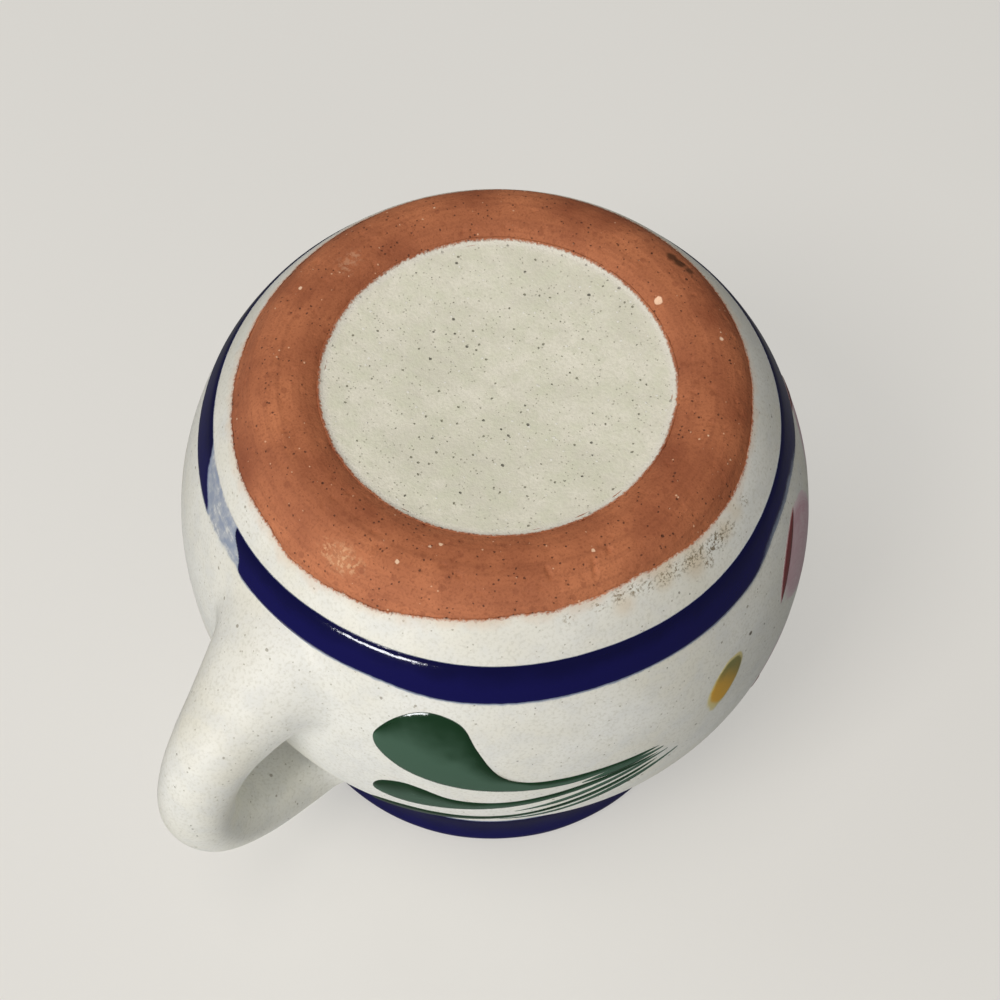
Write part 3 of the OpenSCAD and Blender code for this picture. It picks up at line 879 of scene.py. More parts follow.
@dataclass(frozen=True)
class BaseWash:
    """Thin grey-cream glaze wash in the recessed base, fired dry."""

    # To the eye: a matt, stony cream with grey-green clouds, dark open pores, whose dark colour is
    # partly painted shade in the pits, and a powdery rim.
    pale: str = "#ebe8d8"
    grey: str = "#d5d3c1"
    green: str = "#dadcc4"
    powder: str = "#e4dfd6"
    roughness: float = 0.62
    ior: float = 1.5
    specular: float = 0.4
    broad_mm: float = 9.0
    blotch_mm: float = 2.8
    grain_mm: float = 0.42
    crumb_mm: float = 0.38
    crumb_reach_mm: float = 1.1
    grain_relief_mm: float = 0.09
    blotch_relief_mm: float = 0.16
    pore_mm: float = 0.3
    pore_shift_mm: float = 0.15
    # The dark specks that sink are pores, their dark colour partly their own and partly painted
    # shade.
    specks: tuple[Specks, ...] = (
        Specks(0.9, 0.2, 0.5, "#f3f2ea", 0.75, -0.03), Specks(0.5, 0.13, 0.6, "#9d9a85", 0.6, 0.04),
        Specks(1.0, 0.2, 0.5, "#77745f", 0.8, 0.1), Specks(1.7, 0.24, 0.45, "#57554a", 0.85, 0.14))

    def material(self, name: str, clay: Terracotta) -> Material:
        """Make the wash, which thins out over the clay at its rim.

        The piece keeps the distance from the rim in mm in its layer "rim".

        Args:
            name: Name of the finish.
            clay: Finish of the clay that shows through.

        Returns:
            The material.
        """
        material, tree = new_material(name)
        plain, ragged = rough_coords(tree, self.pore_mm, self.pore_shift_mm)
        broad, blotch, grain, crumbs = (add_node(tree, "ShaderNodeTexNoise", {
            "Vector": plain, "Scale": 1 / (size * MM), "Detail": detail, "Roughness": rough})
            .outputs[0] for size, detail, rough in (
                (self.broad_mm, 5.0, 0.6), (self.blotch_mm, 5.0, 0.6), (self.grain_mm, 3.0, 0.6),
                (self.crumb_mm, 4.0, 0.65)))
        colour = lay_tints(tree, linear(self.pale), (
            (broad, 0.42, 0.62, 0.6, self.grey), (blotch, 0.42, 0.66, 0.65, self.green),
            (grain, 0.45, 0.75, 0.7, self.grey)))
        relief = add_up(tree, ((grain, self.grain_relief_mm * MM),
                               (blotch, self.blotch_relief_mm * MM)))
        for specks in self.specks:
            colour, relief = specks.scatter(tree, ragged, colour, relief)
        rim = add_node(tree, "ShaderNodeAttribute", attribute_name="rim").outputs["Fac"]
        away = add_up(tree, [(crumbs, self.crumb_reach_mm)], rim)
        # Each row: the distances from the rim in mm where the change starts and ends, and the
        # values there.
        cover, powder = (add_node(tree, "ShaderNodeMapRange", {
            "Value": away, "From Min": start, "From Max": full, "To Min": at_rim, "To Max": inland},
            interpolation_type="SMOOTHSTEP").outputs[0]
            for start, full, at_rim, inland in ((0.75, 1.2, 0.0, 1.0), (1.2, 2.4, 0.6, 0.0)))
        colour = add_node(tree, "ShaderNodeMix", {
            0: powder, 6: colour, 7: linear(self.powder)}, data_type="RGBA").outputs[2]
        rough = add_node(tree, "ShaderNodeMapRange", {
            "Value": grain, "To Min": self.roughness - 0.1, "To Max": self.roughness + 0.15})
        under = replace(clay.look(tree), roughness=rough.outputs[0])
        look = under.covered(tree, Look(colour, rough.outputs[0], relief), cover)
        look.shade(tree, self.ior, self.specular)
        return material


@dataclass(frozen=True)
class BrushSlip:
    """Coloured slip brushed on the glaze and fired into it.

    A stroke keeps in its layer "load" how much slip the brush left, 0 to 1, and in "across" its
    place from one edge, 0, to the other, 1. Its UV map "brush" runs along and across it in metres.
    """

    # To the eye: a raised, glossy colour with fine brush streaks, deeper in colour at its first
    # edge, and watery, with the white showing through, where the brush ran dry. For the cobalt the
    # deeper first edge is painted shade, and for the leaves the paler rest is a painted reflection.
    edge: str
    body: str
    thin: str
    gloss: float = 0.1
    edge_reach: float = 0.35
    streak_mm: float = 0.3
    streaky: float = 0.25
    mottle: float = 0.3
    ior: float = 1.52
    specular: float = 0.5
    streak_length_mm: float = 9.0
    mottle_mm: float = 1.5
    drift_mm: float = 5.0
    peel_mm: float = 0.9
    peel_relief_mm: float = 0.035
    streak_relief_mm: float = 0.012

    def material(self, name: str, ground: TinGlaze) -> Material:
        """Make the slip's material.

        Args:
            name: Name of the finish.
            ground: Glaze that shows where there is no slip.

        Returns:
            The material.
        """
        material, tree = new_material(name)
        under = ground.look(tree)
        plain = add_node(tree, "ShaderNodeTexCoord").outputs["Object"]
        load, across = (add_node(tree, "ShaderNodeAttribute", attribute_name=layer).outputs["Fac"]
                        for layer in ("load", "across"))
        brush = add_node(tree, "ShaderNodeUVMap", uv_map="brush")
        drawn = add_node(tree, "ShaderNodeVectorMath", {
            0: brush.outputs[0],
            1: (1 / (self.streak_length_mm * MM), 1 / (self.streak_mm * MM), 1.0)},
            operation="MULTIPLY").outputs[0]
        streaks, clouds, wide, peel = (add_node(tree, "ShaderNodeTexNoise", {
            "Vector": coords, "Scale": scale, "Detail": detail, "Roughness": rough}).outputs[0]
            for coords, scale, detail, rough in (
                (drawn, 1.0, 3.0, 0.5), (plain, 1 / (self.mottle_mm * MM), 4.0, 0.6),
                (plain, 1 / (self.drift_mm * MM), 2.0, 0.5),
                (plain, 1 / (self.peel_mm * MM), 3.0, 0.5)))
        wet = add_up(tree, ((streaks, self.streaky), (clouds, self.mottle)), load)
        drift = add_up(tree, [(wide, 0.5)], across)
        # The film starts where a thin wash stains the glaze, the full colour where the slip covers
        # it, and the body's colour where the edge's ends. The change from the edge's colour to the
        # body's colour is painted shade on the cobalt's first edge and a painted reflection in the
        # leaves' paler body.
        middle = (self.streaky + self.mottle) / 2
        film, full, inner = (add_node(tree, "ShaderNodeMapRange", {
            "Value": value, "From Min": start, "From Max": end},
            interpolation_type="SMOOTHSTEP").outputs[0] for value, start, end in (
                (wet, middle + 0.04, middle + 0.32), (wet, middle + 0.34, middle + 0.74),
                (drift, 0.25 + self.edge_reach * 0.2, 0.25 + self.edge_reach * 1.6)))
        slip = add_node(tree, "ShaderNodeMix", {
            0: inner, 6: linear(self.edge), 7: linear(self.body)}, data_type="RGBA").outputs[2]
        skin = add_up(tree, ((peel, self.peel_relief_mm * MM),
                             (streaks, self.streak_relief_mm * MM)))
        look = under.covered(tree, Look(linear(self.thin), self.gloss, skin), film)
        colour = add_node(tree, "ShaderNodeMix", {0: full, 6: look.colour, 7: slip},
                          data_type="RGBA").outputs[2]
        replace(look, colour=colour).shade(tree, self.ior, self.specular)
        return material


@dataclass(frozen=True)
class Dent:
    """A pit or a gouge in the foot ring: from one place to another on the underside."""

    theta: float
    r: float
    to_theta: float
    to_r: float
    width_mm: float
    depth_mm: float


@dataclass(frozen=True)
class ThrownBody:
    """The thrown clay and the coats that follow it: outside glaze, inside glaze and base wash."""

    form: MugForm
    wedge_steps: int = 20
    bowl_steps: int = 14
    base_steps: int = 16
    ring_row: float = 0.27
    ring_from_r: float = 21.6
    ring_to_z: float = 6.6
    wash_gap: float = 0.35
    wash_rim: float = 0.8
    wash_bed: float = 0.18
    coat_from_z: float = 4.0
    coat_sink: float = 0.05
    thin_mm: float = 1.6
    hem_back: float = 0.5
    ripples: Outline = ((0.07, 7.0, 2, 0.0), (0.035, 1.4, 3, 7.0))
    grit_mm: float = 0.9
    grit_share: float = 0.28
    grit_depth: float = 0.32
    ring_sink: float = 0.04
    hem_ragged: Outline = ((0.2, 3.2, 3, 3.0), (0.08, 0.9, 3, 11.0))
    wash_ragged: Outline = ((0.14, 6.0, 2, 5.0), (0.02, 1.1, 3, 19.0))
    wash_uneven: Outline = ((0.05, 6.0, 2, 2.0), (0.03, 1.6, 2, 9.0))
    wash_t: float = 0.4
    turning_mark: float = 0.02
    finger_mark: float = 0.05
    coat_bed: float = 0.12
    dents: tuple[Dent, ...] = (
        Dent(-55.2, 28.9, -55.9, 30.2, 0.5, 0.3), Dent(-66.6, 29.5, -65.8, 31.2, 0.45, 0.28),
        Dent(-163.9, 24.6, -163.9, 24.6, 0.8, 0.22), Dent(-14, 29.1, -13.4, 29.3, 0.6, 0.3),
        Dent(-10.7, 27.7, -10.5, 27.9, 0.5, 0.25), Dent(-6.1, 29.3, -6.1, 29.3, 0.55, 0.25),
        Dent(-71.1, 29.0, -70.8, 29.3, 0.55, 0.28), Dent(83.2, 30.6, 84.0, 30.9, 0.6, 0.25),
        Dent(28.3, 28.5, 28.3, 28.5, 0.5, 0.25), Dent(-25.4, 26.6, -26.5, 26.3, 0.4, 0.2),
        Dent(-7.4, 32.4, -2.0, 32.7, 1.4, 0.16), Dent(86.8, 26.9, 91.0, 27.4, 1.2, 0.14),
        Dent(-38.0, 31.0, -40.5, 31.4, 0.35, 0.2), Dent(-46.5, 28.2, -44.0, 28.9, 0.3, 0.18))
    # Turn in degrees and height in mm of the wiped hem.
    hem_heights: Outline = (
        (-180.0, 3.4), (-150.0, 3.0), (-125.0, 2.9), (-110.0, 3.6), (-96.0, 3.5), (-85.0, 3.0),
        (-75.0, 2.6), (-60.0, 3.0), (-46.0, 3.3), (-38.0, 3.7), (-27.0, 4.4), (-20.0, 5.0),
        (-8.0, 5.5), (2.5, 5.9), (12.5, 5.1), (25.0, 5.4), (42.5, 5.0), (80.0, 4.2), (130.0, 3.8),
        (180.0, 3.4))

    def clay_rows(self) -> np.ndarray:
        """Give the clay's rows: dense on the bare ring, sparse where glaze covers it."""
        form = self.form
        rim, hem = form.s_at_r(self.ring_from_r), form.s_at_z(self.ring_to_z)
        return np.concatenate((
            np.linspace(0, rim, 12, endpoint=False), np.arange(rim, hem, self.ring_row),
            np.linspace(hem, form.top_s - 3, 24), np.linspace(form.top_s - 2, form.top_s + 2, 6),
            np.linspace(form.top_s + 3, form.end_s, 30)))

    def ring_relief(self, points: np.ndarray, s: np.ndarray) -> np.ndarray:
        """Give the bare ring's unevenness in mm: soft ripples, grit and the dents.

        Args:
            points: Places in metres.
            s: Places along the clay line in mm.

        Returns:
            Lifts in mm, never above the true outline.
        """
        form = self.form
        bare = smooth_step(5.4, 4.2, form.read("z", s)) * smooth_step(20.5, 22.5, form.read("r", s))
        bare = bare * (s < form.top_s)
        lifts = np.zeros(len(points))
        rows = np.nonzero(bare > 0)[0]
        here = points[rows]
        grit = np.clip(rough_noise(here, self.grit_mm, 2, 31.0) - self.grit_share, 0, None)
        ripple = unevenness(here, self.ripples)
        lifts[rows] = np.minimum(ripple - self.grit_depth * grit - self.ring_sink, 0.0)
        for dent in self.dents:
            start, end = (form.place(math.radians(turn), form.s_at_r(r), 0.0) for turn, r in (
                (dent.theta, dent.r), (dent.to_theta, dent.to_r)))
            along = end - start
            t = np.clip((here - start) @ along / max(along @ along, 1e-12), 0, 1)
            away = np.linalg.norm(here - start - t[:, None] * along, axis=1) / (dent.width_mm * MM)
            lifts[rows] -= dent.depth_mm * np.clip(1 - away ** 2, 0, 1) ** 1.5
        return lifts * bare

    def build_clay(self, material: Material) -> Piece:
        """Build the clay: foot ring, wall, lip and bowl in one closed turned mesh."""
        form = self.form
        bm, theta, s, _ = turned(form, [(row, 0.0) for row in self.clay_rows()], self.wedge_steps)
        relief = self.ring_relief(form.place(theta, s, 0.0), s)
        wash_r = form.recess_r + self.wash_gap
        bed = self.wash_bed * smooth_step(wash_r, wash_r - 1.6, form.read("r", s))
        move_verts(bm, form.place(theta, s, relief - bed * (s < form.s_at_r(wash_r))))
        return finish_piece(bm, "thrown_clay", "clay_body", material)

    def hem_s(self, theta: np.ndarray) -> np.ndarray:
        """Give the wiped hem's place along the clay line, with its ragged edge."""
        turns, heights = np.array(self.hem_heights).T
        height = np.interp(np.degrees(theta), turns, heights)
        ragged = unevenness(circle(theta, self.form.foot_r), self.hem_ragged)
        return self.form.s_at_z(height) + ragged - self.hem_back

    def build_outside(self, material: Material) -> Piece:
        """Build the outside coat, which thins out at its wiped hem and ends on the lip."""
        form = self.form
        start, face = float(form.s_at_z(self.coat_from_z)), form.glaze_t - self.coat_sink
        whole = form.top_s - start
        # Dense rows by the hem, sparser ones up the wall, and a few back down under the coat.
        near = np.concatenate((np.arange(0, 3.2, 0.22), np.arange(3.2, 9, 0.6)))
        shares = np.concatenate((near / whole, np.linspace(9 / whole, 1, 84)))
        rows = [(start + t * whole, face) for t in shares]
        rows += [(start + t * whole, -self.coat_sink)
                 for t in (1.0, 0.97, *np.linspace(0.94, 0.02, 26))]
        bm, theta, s, lift = turned(form, rows + [(start, face)], self.wedge_steps)
        hem = self.hem_s(theta)
        away = (s - start) / whole * (form.top_s - hem)
        s = hem + away
        # The coat thins out towards the hem and, under the lip band, towards the lip's top.
        end = smooth_step(form.top_s, form.top_s - 1.2, s)
        thick = form.coat_lift(theta, s) * (1 - np.exp(-(away + 0.15) / self.thin_mm))
        thick = thick * (0.3 + 0.7 * end)
        back = -self.coat_bed * smooth_step(0, 0.6, away) - 0.03
        write_layer(bm, "hem", away)
        move_verts(bm, form.place(theta, s, np.where(lift > 0, thick - 0.03 * (away < 0.4), back)))
        return finish_piece(bm, "outside_coat", "outside_glaze", material)

    def build_inside(self, material: Material) -> Piece:
        """Build the inside coat, from the lip down to the bowl's middle."""
        form = self.form
        places = np.concatenate((np.linspace(form.top_s, form.top_s + 4, 10, endpoint=False),
                                 np.linspace(form.top_s + 4, form.end_s, 76)))
        rows = [(s, form.glaze_t) for s in places]
        rows += [(s, -self.coat_bed) for s in np.linspace(form.end_s, form.top_s + 0.3, 24)]
        bm, theta, s, lift = turned(form, rows + rows[:1], self.bowl_steps)
        start = smooth_step(form.top_s, form.top_s + 1.2, s)
        finger = self.finger_mark * np.sin(s / 2.3 + 0.6 * theta)
        finger = finger * smooth_step(form.top_s + 8, form.top_s + 20, s)
        finger = finger * smooth_step(form.end_s, form.end_s - 16, s)
        settle = smooth_step(form.end_s, form.end_s - 6, s)
        top = form.glaze_t + (form.coat_lift(theta, s) - form.glaze_t) * settle
        face = top * (0.3 + 0.7 * start) + finger - 0.05 * smooth_step(0.3, 1, start)
        move_verts(bm, form.place(theta, s, np.where(lift > 0, face, -self.coat_bed)))
        return finish_piece(bm, "inside_coat", "inside_glaze", material)

    def build_wash(self, material: Material) -> Piece:
        """Build the wash in the recessed base, with its ragged rim and its faint turning marks."""
        form = self.form
        rim = float(form.s_at_r(form.recess_r)) + self.wash_rim
        places = np.concatenate((np.linspace(0, rim - 3, 46, endpoint=False),
                                 np.linspace(rim - 3, rim, 15)))
        rows = [(s, 0.02) for s in places]
        rows += [(s, -self.wash_t) for s in np.linspace(rim - 0.2, 0, 8)]
        bm, theta, s, lift = turned(form, rows, self.base_steps)
        ragged = unevenness(circle(theta, form.recess_r), self.wash_ragged)
        s = s + ragged * smooth_step(rim - 3, rim, s)
        away = rim + ragged - s
        uneven = unevenness(form.place(theta, s, 0.0), self.wash_uneven)
        uneven += self.turning_mark * np.sin(s / 0.9)
        settled = smooth_step(0.6, 2.4, away) * smooth_step(0, 1, s)
        top = 0.03 - 0.05 * smooth_step(0.5, 0.0, away) + (uneven - 0.04) * settled
        back = -self.wash_t * smooth_step(0, 0.5, away) - self.coat_sink
        write_layer(bm, "rim", np.where(lift > 0, away, 0))
        move_verts(bm, form.place(theta, s, np.where(lift > 0, top, back)))
        return finish_piece(bm, "base_wash", "base_glaze", material)

    def build(self, clay: Terracotta, glaze: TinGlaze, white: Material,
              wash: BaseWash) -> list[Piece]:
        """Build the clay and its three coats.

        Args:
            clay: Finish of the bare clay.
            glaze: Finish of the outside coat.
            white: Plain glaze for the inside coat.
            wash: Finish of the recessed base.

        Returns:
            The new objects.
        """
        bare = clay.material("bare_terracotta", self.form, CLAY_BLOTS)
        hem = glaze.hem_material("white_tin_glaze_wiped_hem", clay, self.form, GLAZE_BLOTS)
        return [self.build_clay(bare), self.build_outside(hem), self.build_inside(white),
                self.build_wash(wash.material("dry_base_wash", clay))]


@dataclass(frozen=True)
class StrapHandle:
    """The pulled loop handle under its glaze, flowing into the wall at both roots."""

    form: MugForm
    low_z: float = 24.0
    top_z: float = 57.0
    reach: float = 14.0
    strap_w: float = 11.0
    strap_t: float = 10.2
    # Shares of the reach out from the belly, of the way up between the roots, and of the strap's
    # width and thickness.
    loop: Outline = (
        (-0.70, -0.17, 1.75, 1.42), (-0.34, -0.08, 1.72, 1.42), (-0.04, 0.0, 1.58, 1.34),
        (0.32, 0.09, 1.30, 1.18), (0.63, 0.19, 1.10, 1.04), (0.89, 0.35, 1.0, 0.98),
        (1.0, 0.56, 1.0, 0.98), (0.86, 0.76, 1.04, 1.0), (0.45, 0.92, 1.08, 1.02),
        (-0.07, 0.99, 1.12, 1.05), (-0.57, 1.0, 1.20, 1.14), (-1.07, 0.98, 1.28, 1.26))
    around: int = 112
    tube_rows: int = 900
    middle_rows: int = 110
    root_rows: int = 22
    press_mm: float = 0.08
    press_turns: float = 17.0
    blend_mm: float = 3.4
    spread_mm: float = 3.0
    low_spread: float = 0.72
    root_low_z: float = 12.8
    tuck_mm: float = 0.7
    tuck_depth: float = 0.16
    pull: float = 0.6

    def tube(self) -> tuple[np.ndarray, np.ndarray]:
        """Sweep the strap's oval along the loop.

        Returns:
            Points in mm, rows along by places around, and the loop's middle line.
        """
        shares = evenly(flowing_line(self.loop, 40), self.tube_rows)
        middle = np.stack((self.form.belly_r + self.reach * shares[:, 0], 0 * shares[:, 0],
                           self.low_z + (self.top_z - self.low_z) * shares[:, 1]), 1)
        along = np.gradient(middle, axis=0)
        along /= np.linalg.norm(along, axis=1)[:, None]
        across = np.stack((along[:, 2], along[:, 1], -along[:, 0]), 1)
        turn = np.linspace(0, 2 * math.pi, self.around + 1)
        thick = self.strap_t / 2 * shares[:, 3, None] * np.cos(turn)
        wide = self.strap_w / 2 * shares[:, 2, None] * np.sin(turn)
        points = middle[:, None] + thick[:, :, None] * across[:, None]
        press = np.sin(np.linspace(0, self.press_turns, self.tube_rows))[:, None] * np.cos(2 * turn)
        points[:, :, 1] += wide - self.press_mm * press * np.sin(turn)
        return points, middle

    def on_wall(self, point: np.ndarray, lift: float) -> np.ndarray:
        """Drop a point onto the glazed wall, or a little over or under it."""
        theta, s = math.atan2(point[1], point[0]), self.form.s_at_z(point[2])
        return self.form.turned_place(theta, s, self.form.coat_lift(theta, s) + lift)

    def root(self, strand: np.ndarray, middle: np.ndarray) -> tuple[np.ndarray, int]:
        """Bend one strand of the strap so that it runs out onto the wall.

        Args:
            strand: Points in mm from the loop's middle to inside the wall.
            middle: The loop's middle line over the same rows.

        Returns:
            Points of the bend from the strand to under the wall's glaze, and the last free row.
        """
        height = np.hypot(strand[:, 0], strand[:, 1]) - self.form.skin_r(strand[:, 2])
        last = int(np.argmax(height < self.blend_mm)) - 1
        cross = int(np.argmax(height < 0))
        # Where the strand meets the wall, the wall's outward direction there, and the way off the
        # loop's middle along the wall.
        share = height[cross - 1] / (height[cross - 1] - height[cross])
        touch = strand[cross - 1] + share * (strand[cross] - strand[cross - 1])
        x, y, z = touch
        slope = float(self.form.skin_r(z + 0.1) - self.form.skin_r(z - 0.1)) / 0.2
        out = np.array((x, y, 0)) / math.hypot(x, y) - np.array((0, 0, slope))
        out /= np.linalg.norm(out)
        away = touch - middle[cross]
        away -= out * (away @ out)
        away /= np.linalg.norm(away)
        fall = max(0.0, -away[2])
        spread = self.spread_mm * (1 - self.low_spread * fall)
        if fall:
            spread = min(spread, max(0.0, z - self.root_low_z) / max(fall, 0.01))
        foot = self.on_wall(touch + away * spread, 0.0)
        under = self.on_wall(touch + away * (spread + self.tuck_mm), -self.tuck_depth)
        free, ahead = strand[last], strand[last] - strand[last - 1]
        ahead = ahead * self.pull * np.linalg.norm(touch - free) / np.linalg.norm(ahead)
        t = np.linspace(0, 1, self.root_rows)[1:, None]
        bend = ((1 - t) ** 3 * free + 3 * t * (1 - t) ** 2 * (free + ahead)
                + 3 * t ** 2 * (1 - t) * (foot + self.pull * (touch - foot)) + t ** 3 * foot)
        return np.vstack((bend, under)), last

    def build(self, material: Material) -> Piece:
        """Build the handle's glazed skin as one closed piece."""
        points, middle = self.tube()
        half = len(points) // 2
        strands = []
        for turn in range(self.around):
            low, low_last = self.root(points[:half, turn][::-1], middle[:half][::-1])
            top, top_last = self.root(points[half:, turn], middle[half:])
            free = evenly(points[half - 1 - low_last:half + top_last + 1, turn], self.middle_rows)
            strands.append(np.vstack((low[::-1], free, top)))
        table = np.stack(strands + strands[:1], 1)
        rows, columns = table.shape[:2]
        bm = bmesh.new()
        bmesh.ops.create_grid(bm, x_segments=rows - 1, y_segments=columns - 1, size=0.5)
        for vert in bm.verts:
            i, j = round((vert.co.x + 0.5) * (rows - 1)), round((vert.co.y + 0.5) * (columns - 1))
            vert.co = self.form.warp(table[i, j]) * MM
        bmesh.ops.remove_doubles(bm, verts=bm.verts[:], dist=2 * WELD)
        ends = [edge for edge in bm.edges if edge.is_boundary]
        caps = bmesh.ops.holes_fill(bm, edges=ends, sides=0)["faces"]
        bmesh.ops.poke(bm, faces=caps)
        return finish_piece(bm, "handle_skin", "handle_glaze", material)


@dataclass(frozen=True)
class Ribbon:
    """One brush stroke's place on the mug: two edges, and how thick, crisp and full it is."""

    first: Edge
    second: Edge
    lift_mm: float
    first_crisp_mm: float
    second_crisp_mm: float
    round_mm: float = 0.5
    closed: bool = False
    load: Load | None = None
    rows: int = 120
    columns: int = 24
    lean: float = 0.65
    sink_mm: float = 0.008
    bed_mm: float = 0.1

    def add_to(self, bm: Mesh, form: MugForm) -> None:
        """Add the stroke to a mesh as a closed lens, its underside just below the glaze's face.

        Args:
            bm: Mesh with the layers "load", "across" and the UV map "brush".
            form: The thrown form that it lies on.
        """
        edges = [np.stack(edge, 1) for edge in (self.first, self.second)]
        share = np.linspace(0, 1, len(edges[0]))
        even = np.linspace(0, 1, self.columns + 1)
        across = (1 - self.lean) * even + self.lean * (1 - np.cos(math.pi * even)) / 2
        along = np.linspace(0, 1, self.rows + 1)
        one, two = (np.stack([np.interp(along, share, column) for column in edge.T], 1)
                    for edge in edges)
        spots = one[:, None] + across[None, :, None] * (two - one)[:, None]
        theta, s = spots[..., 0], spots[..., 1]
        coat = form.coat_lift(theta, s)
        flat = form.place(theta, s, coat) / MM
        width = np.linalg.norm(flat[:, -1] - flat[:, 0], axis=1)[:, None]
        ends = length_so_far((flat[:, 0] + flat[:, -1]) / 2)
        d_first, d_second = across * width, (1 - across) * width
        load = smooth_step(0, self.first_crisp_mm, d_first)
        load = load * smooth_step(0, self.second_crisp_mm, d_second)
        if self.load:
            load = load * self.load(*np.broadcast_arrays(along[:, None], across), flat)
        near = np.minimum(d_first, d_second)
        if not self.closed:
            near = np.minimum(near, np.minimum(ends, ends[-1] - ends)[:, None])
        near = near / self.round_mm
        body = 1 - np.exp(-near - 0.6 * near ** 2)
        slip = self.lift_mm * (0.2 + 0.8 * smooth_step(0.1, 0.9, load))
        top = form.place(theta, s, coat - self.sink_mm + slip * body)
        under = form.place(theta, s, coat - self.sink_mm - self.bed_mm * body)
        for points in (top, under):
            faces = self.lay_sheet(bm, points, load, across, ends, d_first)
            if points is under:
                bmesh.ops.reverse_faces(bm, faces=faces)

    def lay_sheet(self, bm: Mesh, points: np.ndarray, load: np.ndarray, across: np.ndarray,
                  ends: np.ndarray, aside: np.ndarray) -> list[bmesh.types.BMFace]:
        """Lay one face of the lens, with its layers and its UV map.

        Args:
            bm: Mesh that gets it.
            points: Places in metres, rows along by columns across.
            load: How much slip the brush left at each place.
            across: Share of the width at each column.
            ends: Length in mm along the stroke at each row.
            aside: Distance in mm from the first edge at each place.

        Returns:
            The new faces.
        """
        load_layer, across_layer = (bm.verts.layers.float[name] for name in ("load", "across"))
        uv = bm.loops.layers.uv["brush"]
        made = bmesh.ops.create_grid(bm, x_segments=self.rows, y_segments=self.columns,
                                     size=0.5)["verts"]
        spots = [(round((vert.co.x + 0.5) * self.rows), round((vert.co.y + 0.5) * self.columns))
                 for vert in made]
        for vert, (i, j) in zip(made, spots):
            vert[load_layer], vert[across_layer] = load[i, j], across[j]
            vert.co = (ends[i], aside[i, j], 0)
        faces = list({face for vert in made for face in vert.link_faces})
        for face in faces:
            for corner in face.loops:
                corner[uv].uv = corner.vert.co.xy * MM
        for vert, (i, j) in zip(made, spots):
            vert.co = points[i, j]
        return faces


class Paint(Enum):
    """The slips on the brush, each with the name that starts the name of its finish."""

    COBALT = "cobalt_slip"
    LEAF = "leaf_green"
    YELLOW = "bud_yellow"
    PINK = "petal_pink"
    RED = "petal_red"


SLIPS: dict[Paint, BrushSlip] = {
    # Cobalt: the darker edge colour is painted shade along the band's first edge, and the pale thin
    # colour at the band's back is partly a painted reflection.
    Paint.COBALT: BrushSlip("#08083a", "#0f0e4c", "#959fb2", streaky=0.2, mottle=0.45),
    # Leaf: the dark edge colour is the slip's own, and the paler grey-green body colour is a
    # painted reflection.
    Paint.LEAF: BrushSlip("#17351f", "#456150", "#8d9a92", gloss=0.12, edge_reach=0.4,
                          streak_mm=0.45, streaky=0.35, mottle=0.2),
    Paint.YELLOW: BrushSlip("#83804c", "#d8a63c", "#d8cb90", gloss=0.3, edge_reach=0.4,
                            streaky=0.3, mottle=0.5),
    Paint.PINK: BrushSlip("#d3a8b2", "#d7b2ba", "#e3cdd0", gloss=0.3, streaky=0.5, mottle=0.5),
    Paint.RED: BrushSlip("#6b282a", "#7d3335", "#c3a0a1", gloss=0.24, streaky=0.5, mottle=0.25),
}


def waves(theta: np.ndarray, rows: Outline) -> np.ndarray:
    """Add up waves round the mug, each with its height in mm, its count and its shift."""
    return sum(height * np.sin(count * theta + shift) for height, count, shift in rows)


def dab_load(along: np.ndarray, across: np.ndarray, flat: np.ndarray) -> np.ndarray:
    """Let a dab run out pale at its far end, and dry towards its sides."""
    side = smooth_step(0, 0.36, np.minimum(along, 1 - along))
    return (1 - 0.35 * smooth_step(0.6, 1.0, across)) * side


def petal_load(along: np.ndarray, across: np.ndarray, flat: np.ndarray) -> np.ndarray:
    """Leave a petal's wash pale, and palest towards the heart."""
    return 0.4 + 0.3 * smooth_step(0.1, 0.8, along) * smooth_step(1.0, 0.9, along)


def leaf_load(along: np.ndarray, across: np.ndarray, flat: np.ndarray) -> np.ndarray:
    """Let the brush run dry towards a leaf's tail."""
    return 0.84 + 0.16 * smooth_step(0.05, 0.45, along) - 0.06 * smooth_step(0.6, 1.0, across)


def foot_load(along: np.ndarray, across: np.ndarray, flat: np.ndarray) -> np.ndarray:
    """Thin the foot band where its stroke starts and ends, and along its back, where the thin
    slip's pale colour is partly a painted reflection.
    """
    # Turns in degrees: the stroke's start is full until about 18 and its finish from about 37, both
    # on a slant across the band, and its back, around 245, is thinned on its upper half, partly a
    # watery slip and partly a painted reflection.
    turn = along * 360
    start = smooth_step(0, 0.9, 18.2 - 7 * across + 0.5 * np.sin(9 * across) - turn)
    finish = smooth_step(0, 2.5, turn - 37 + 13 * across + 0.6 * np.sin(11 * across))
    back = smooth_step(222, 240, turn) * smooth_step(266, 250, turn)
    back = back * smooth_step(0.45, 0.8, across)
    return (0.26 + 0.74 * np.maximum(start, finish)) * (1 - 0.55 * back)


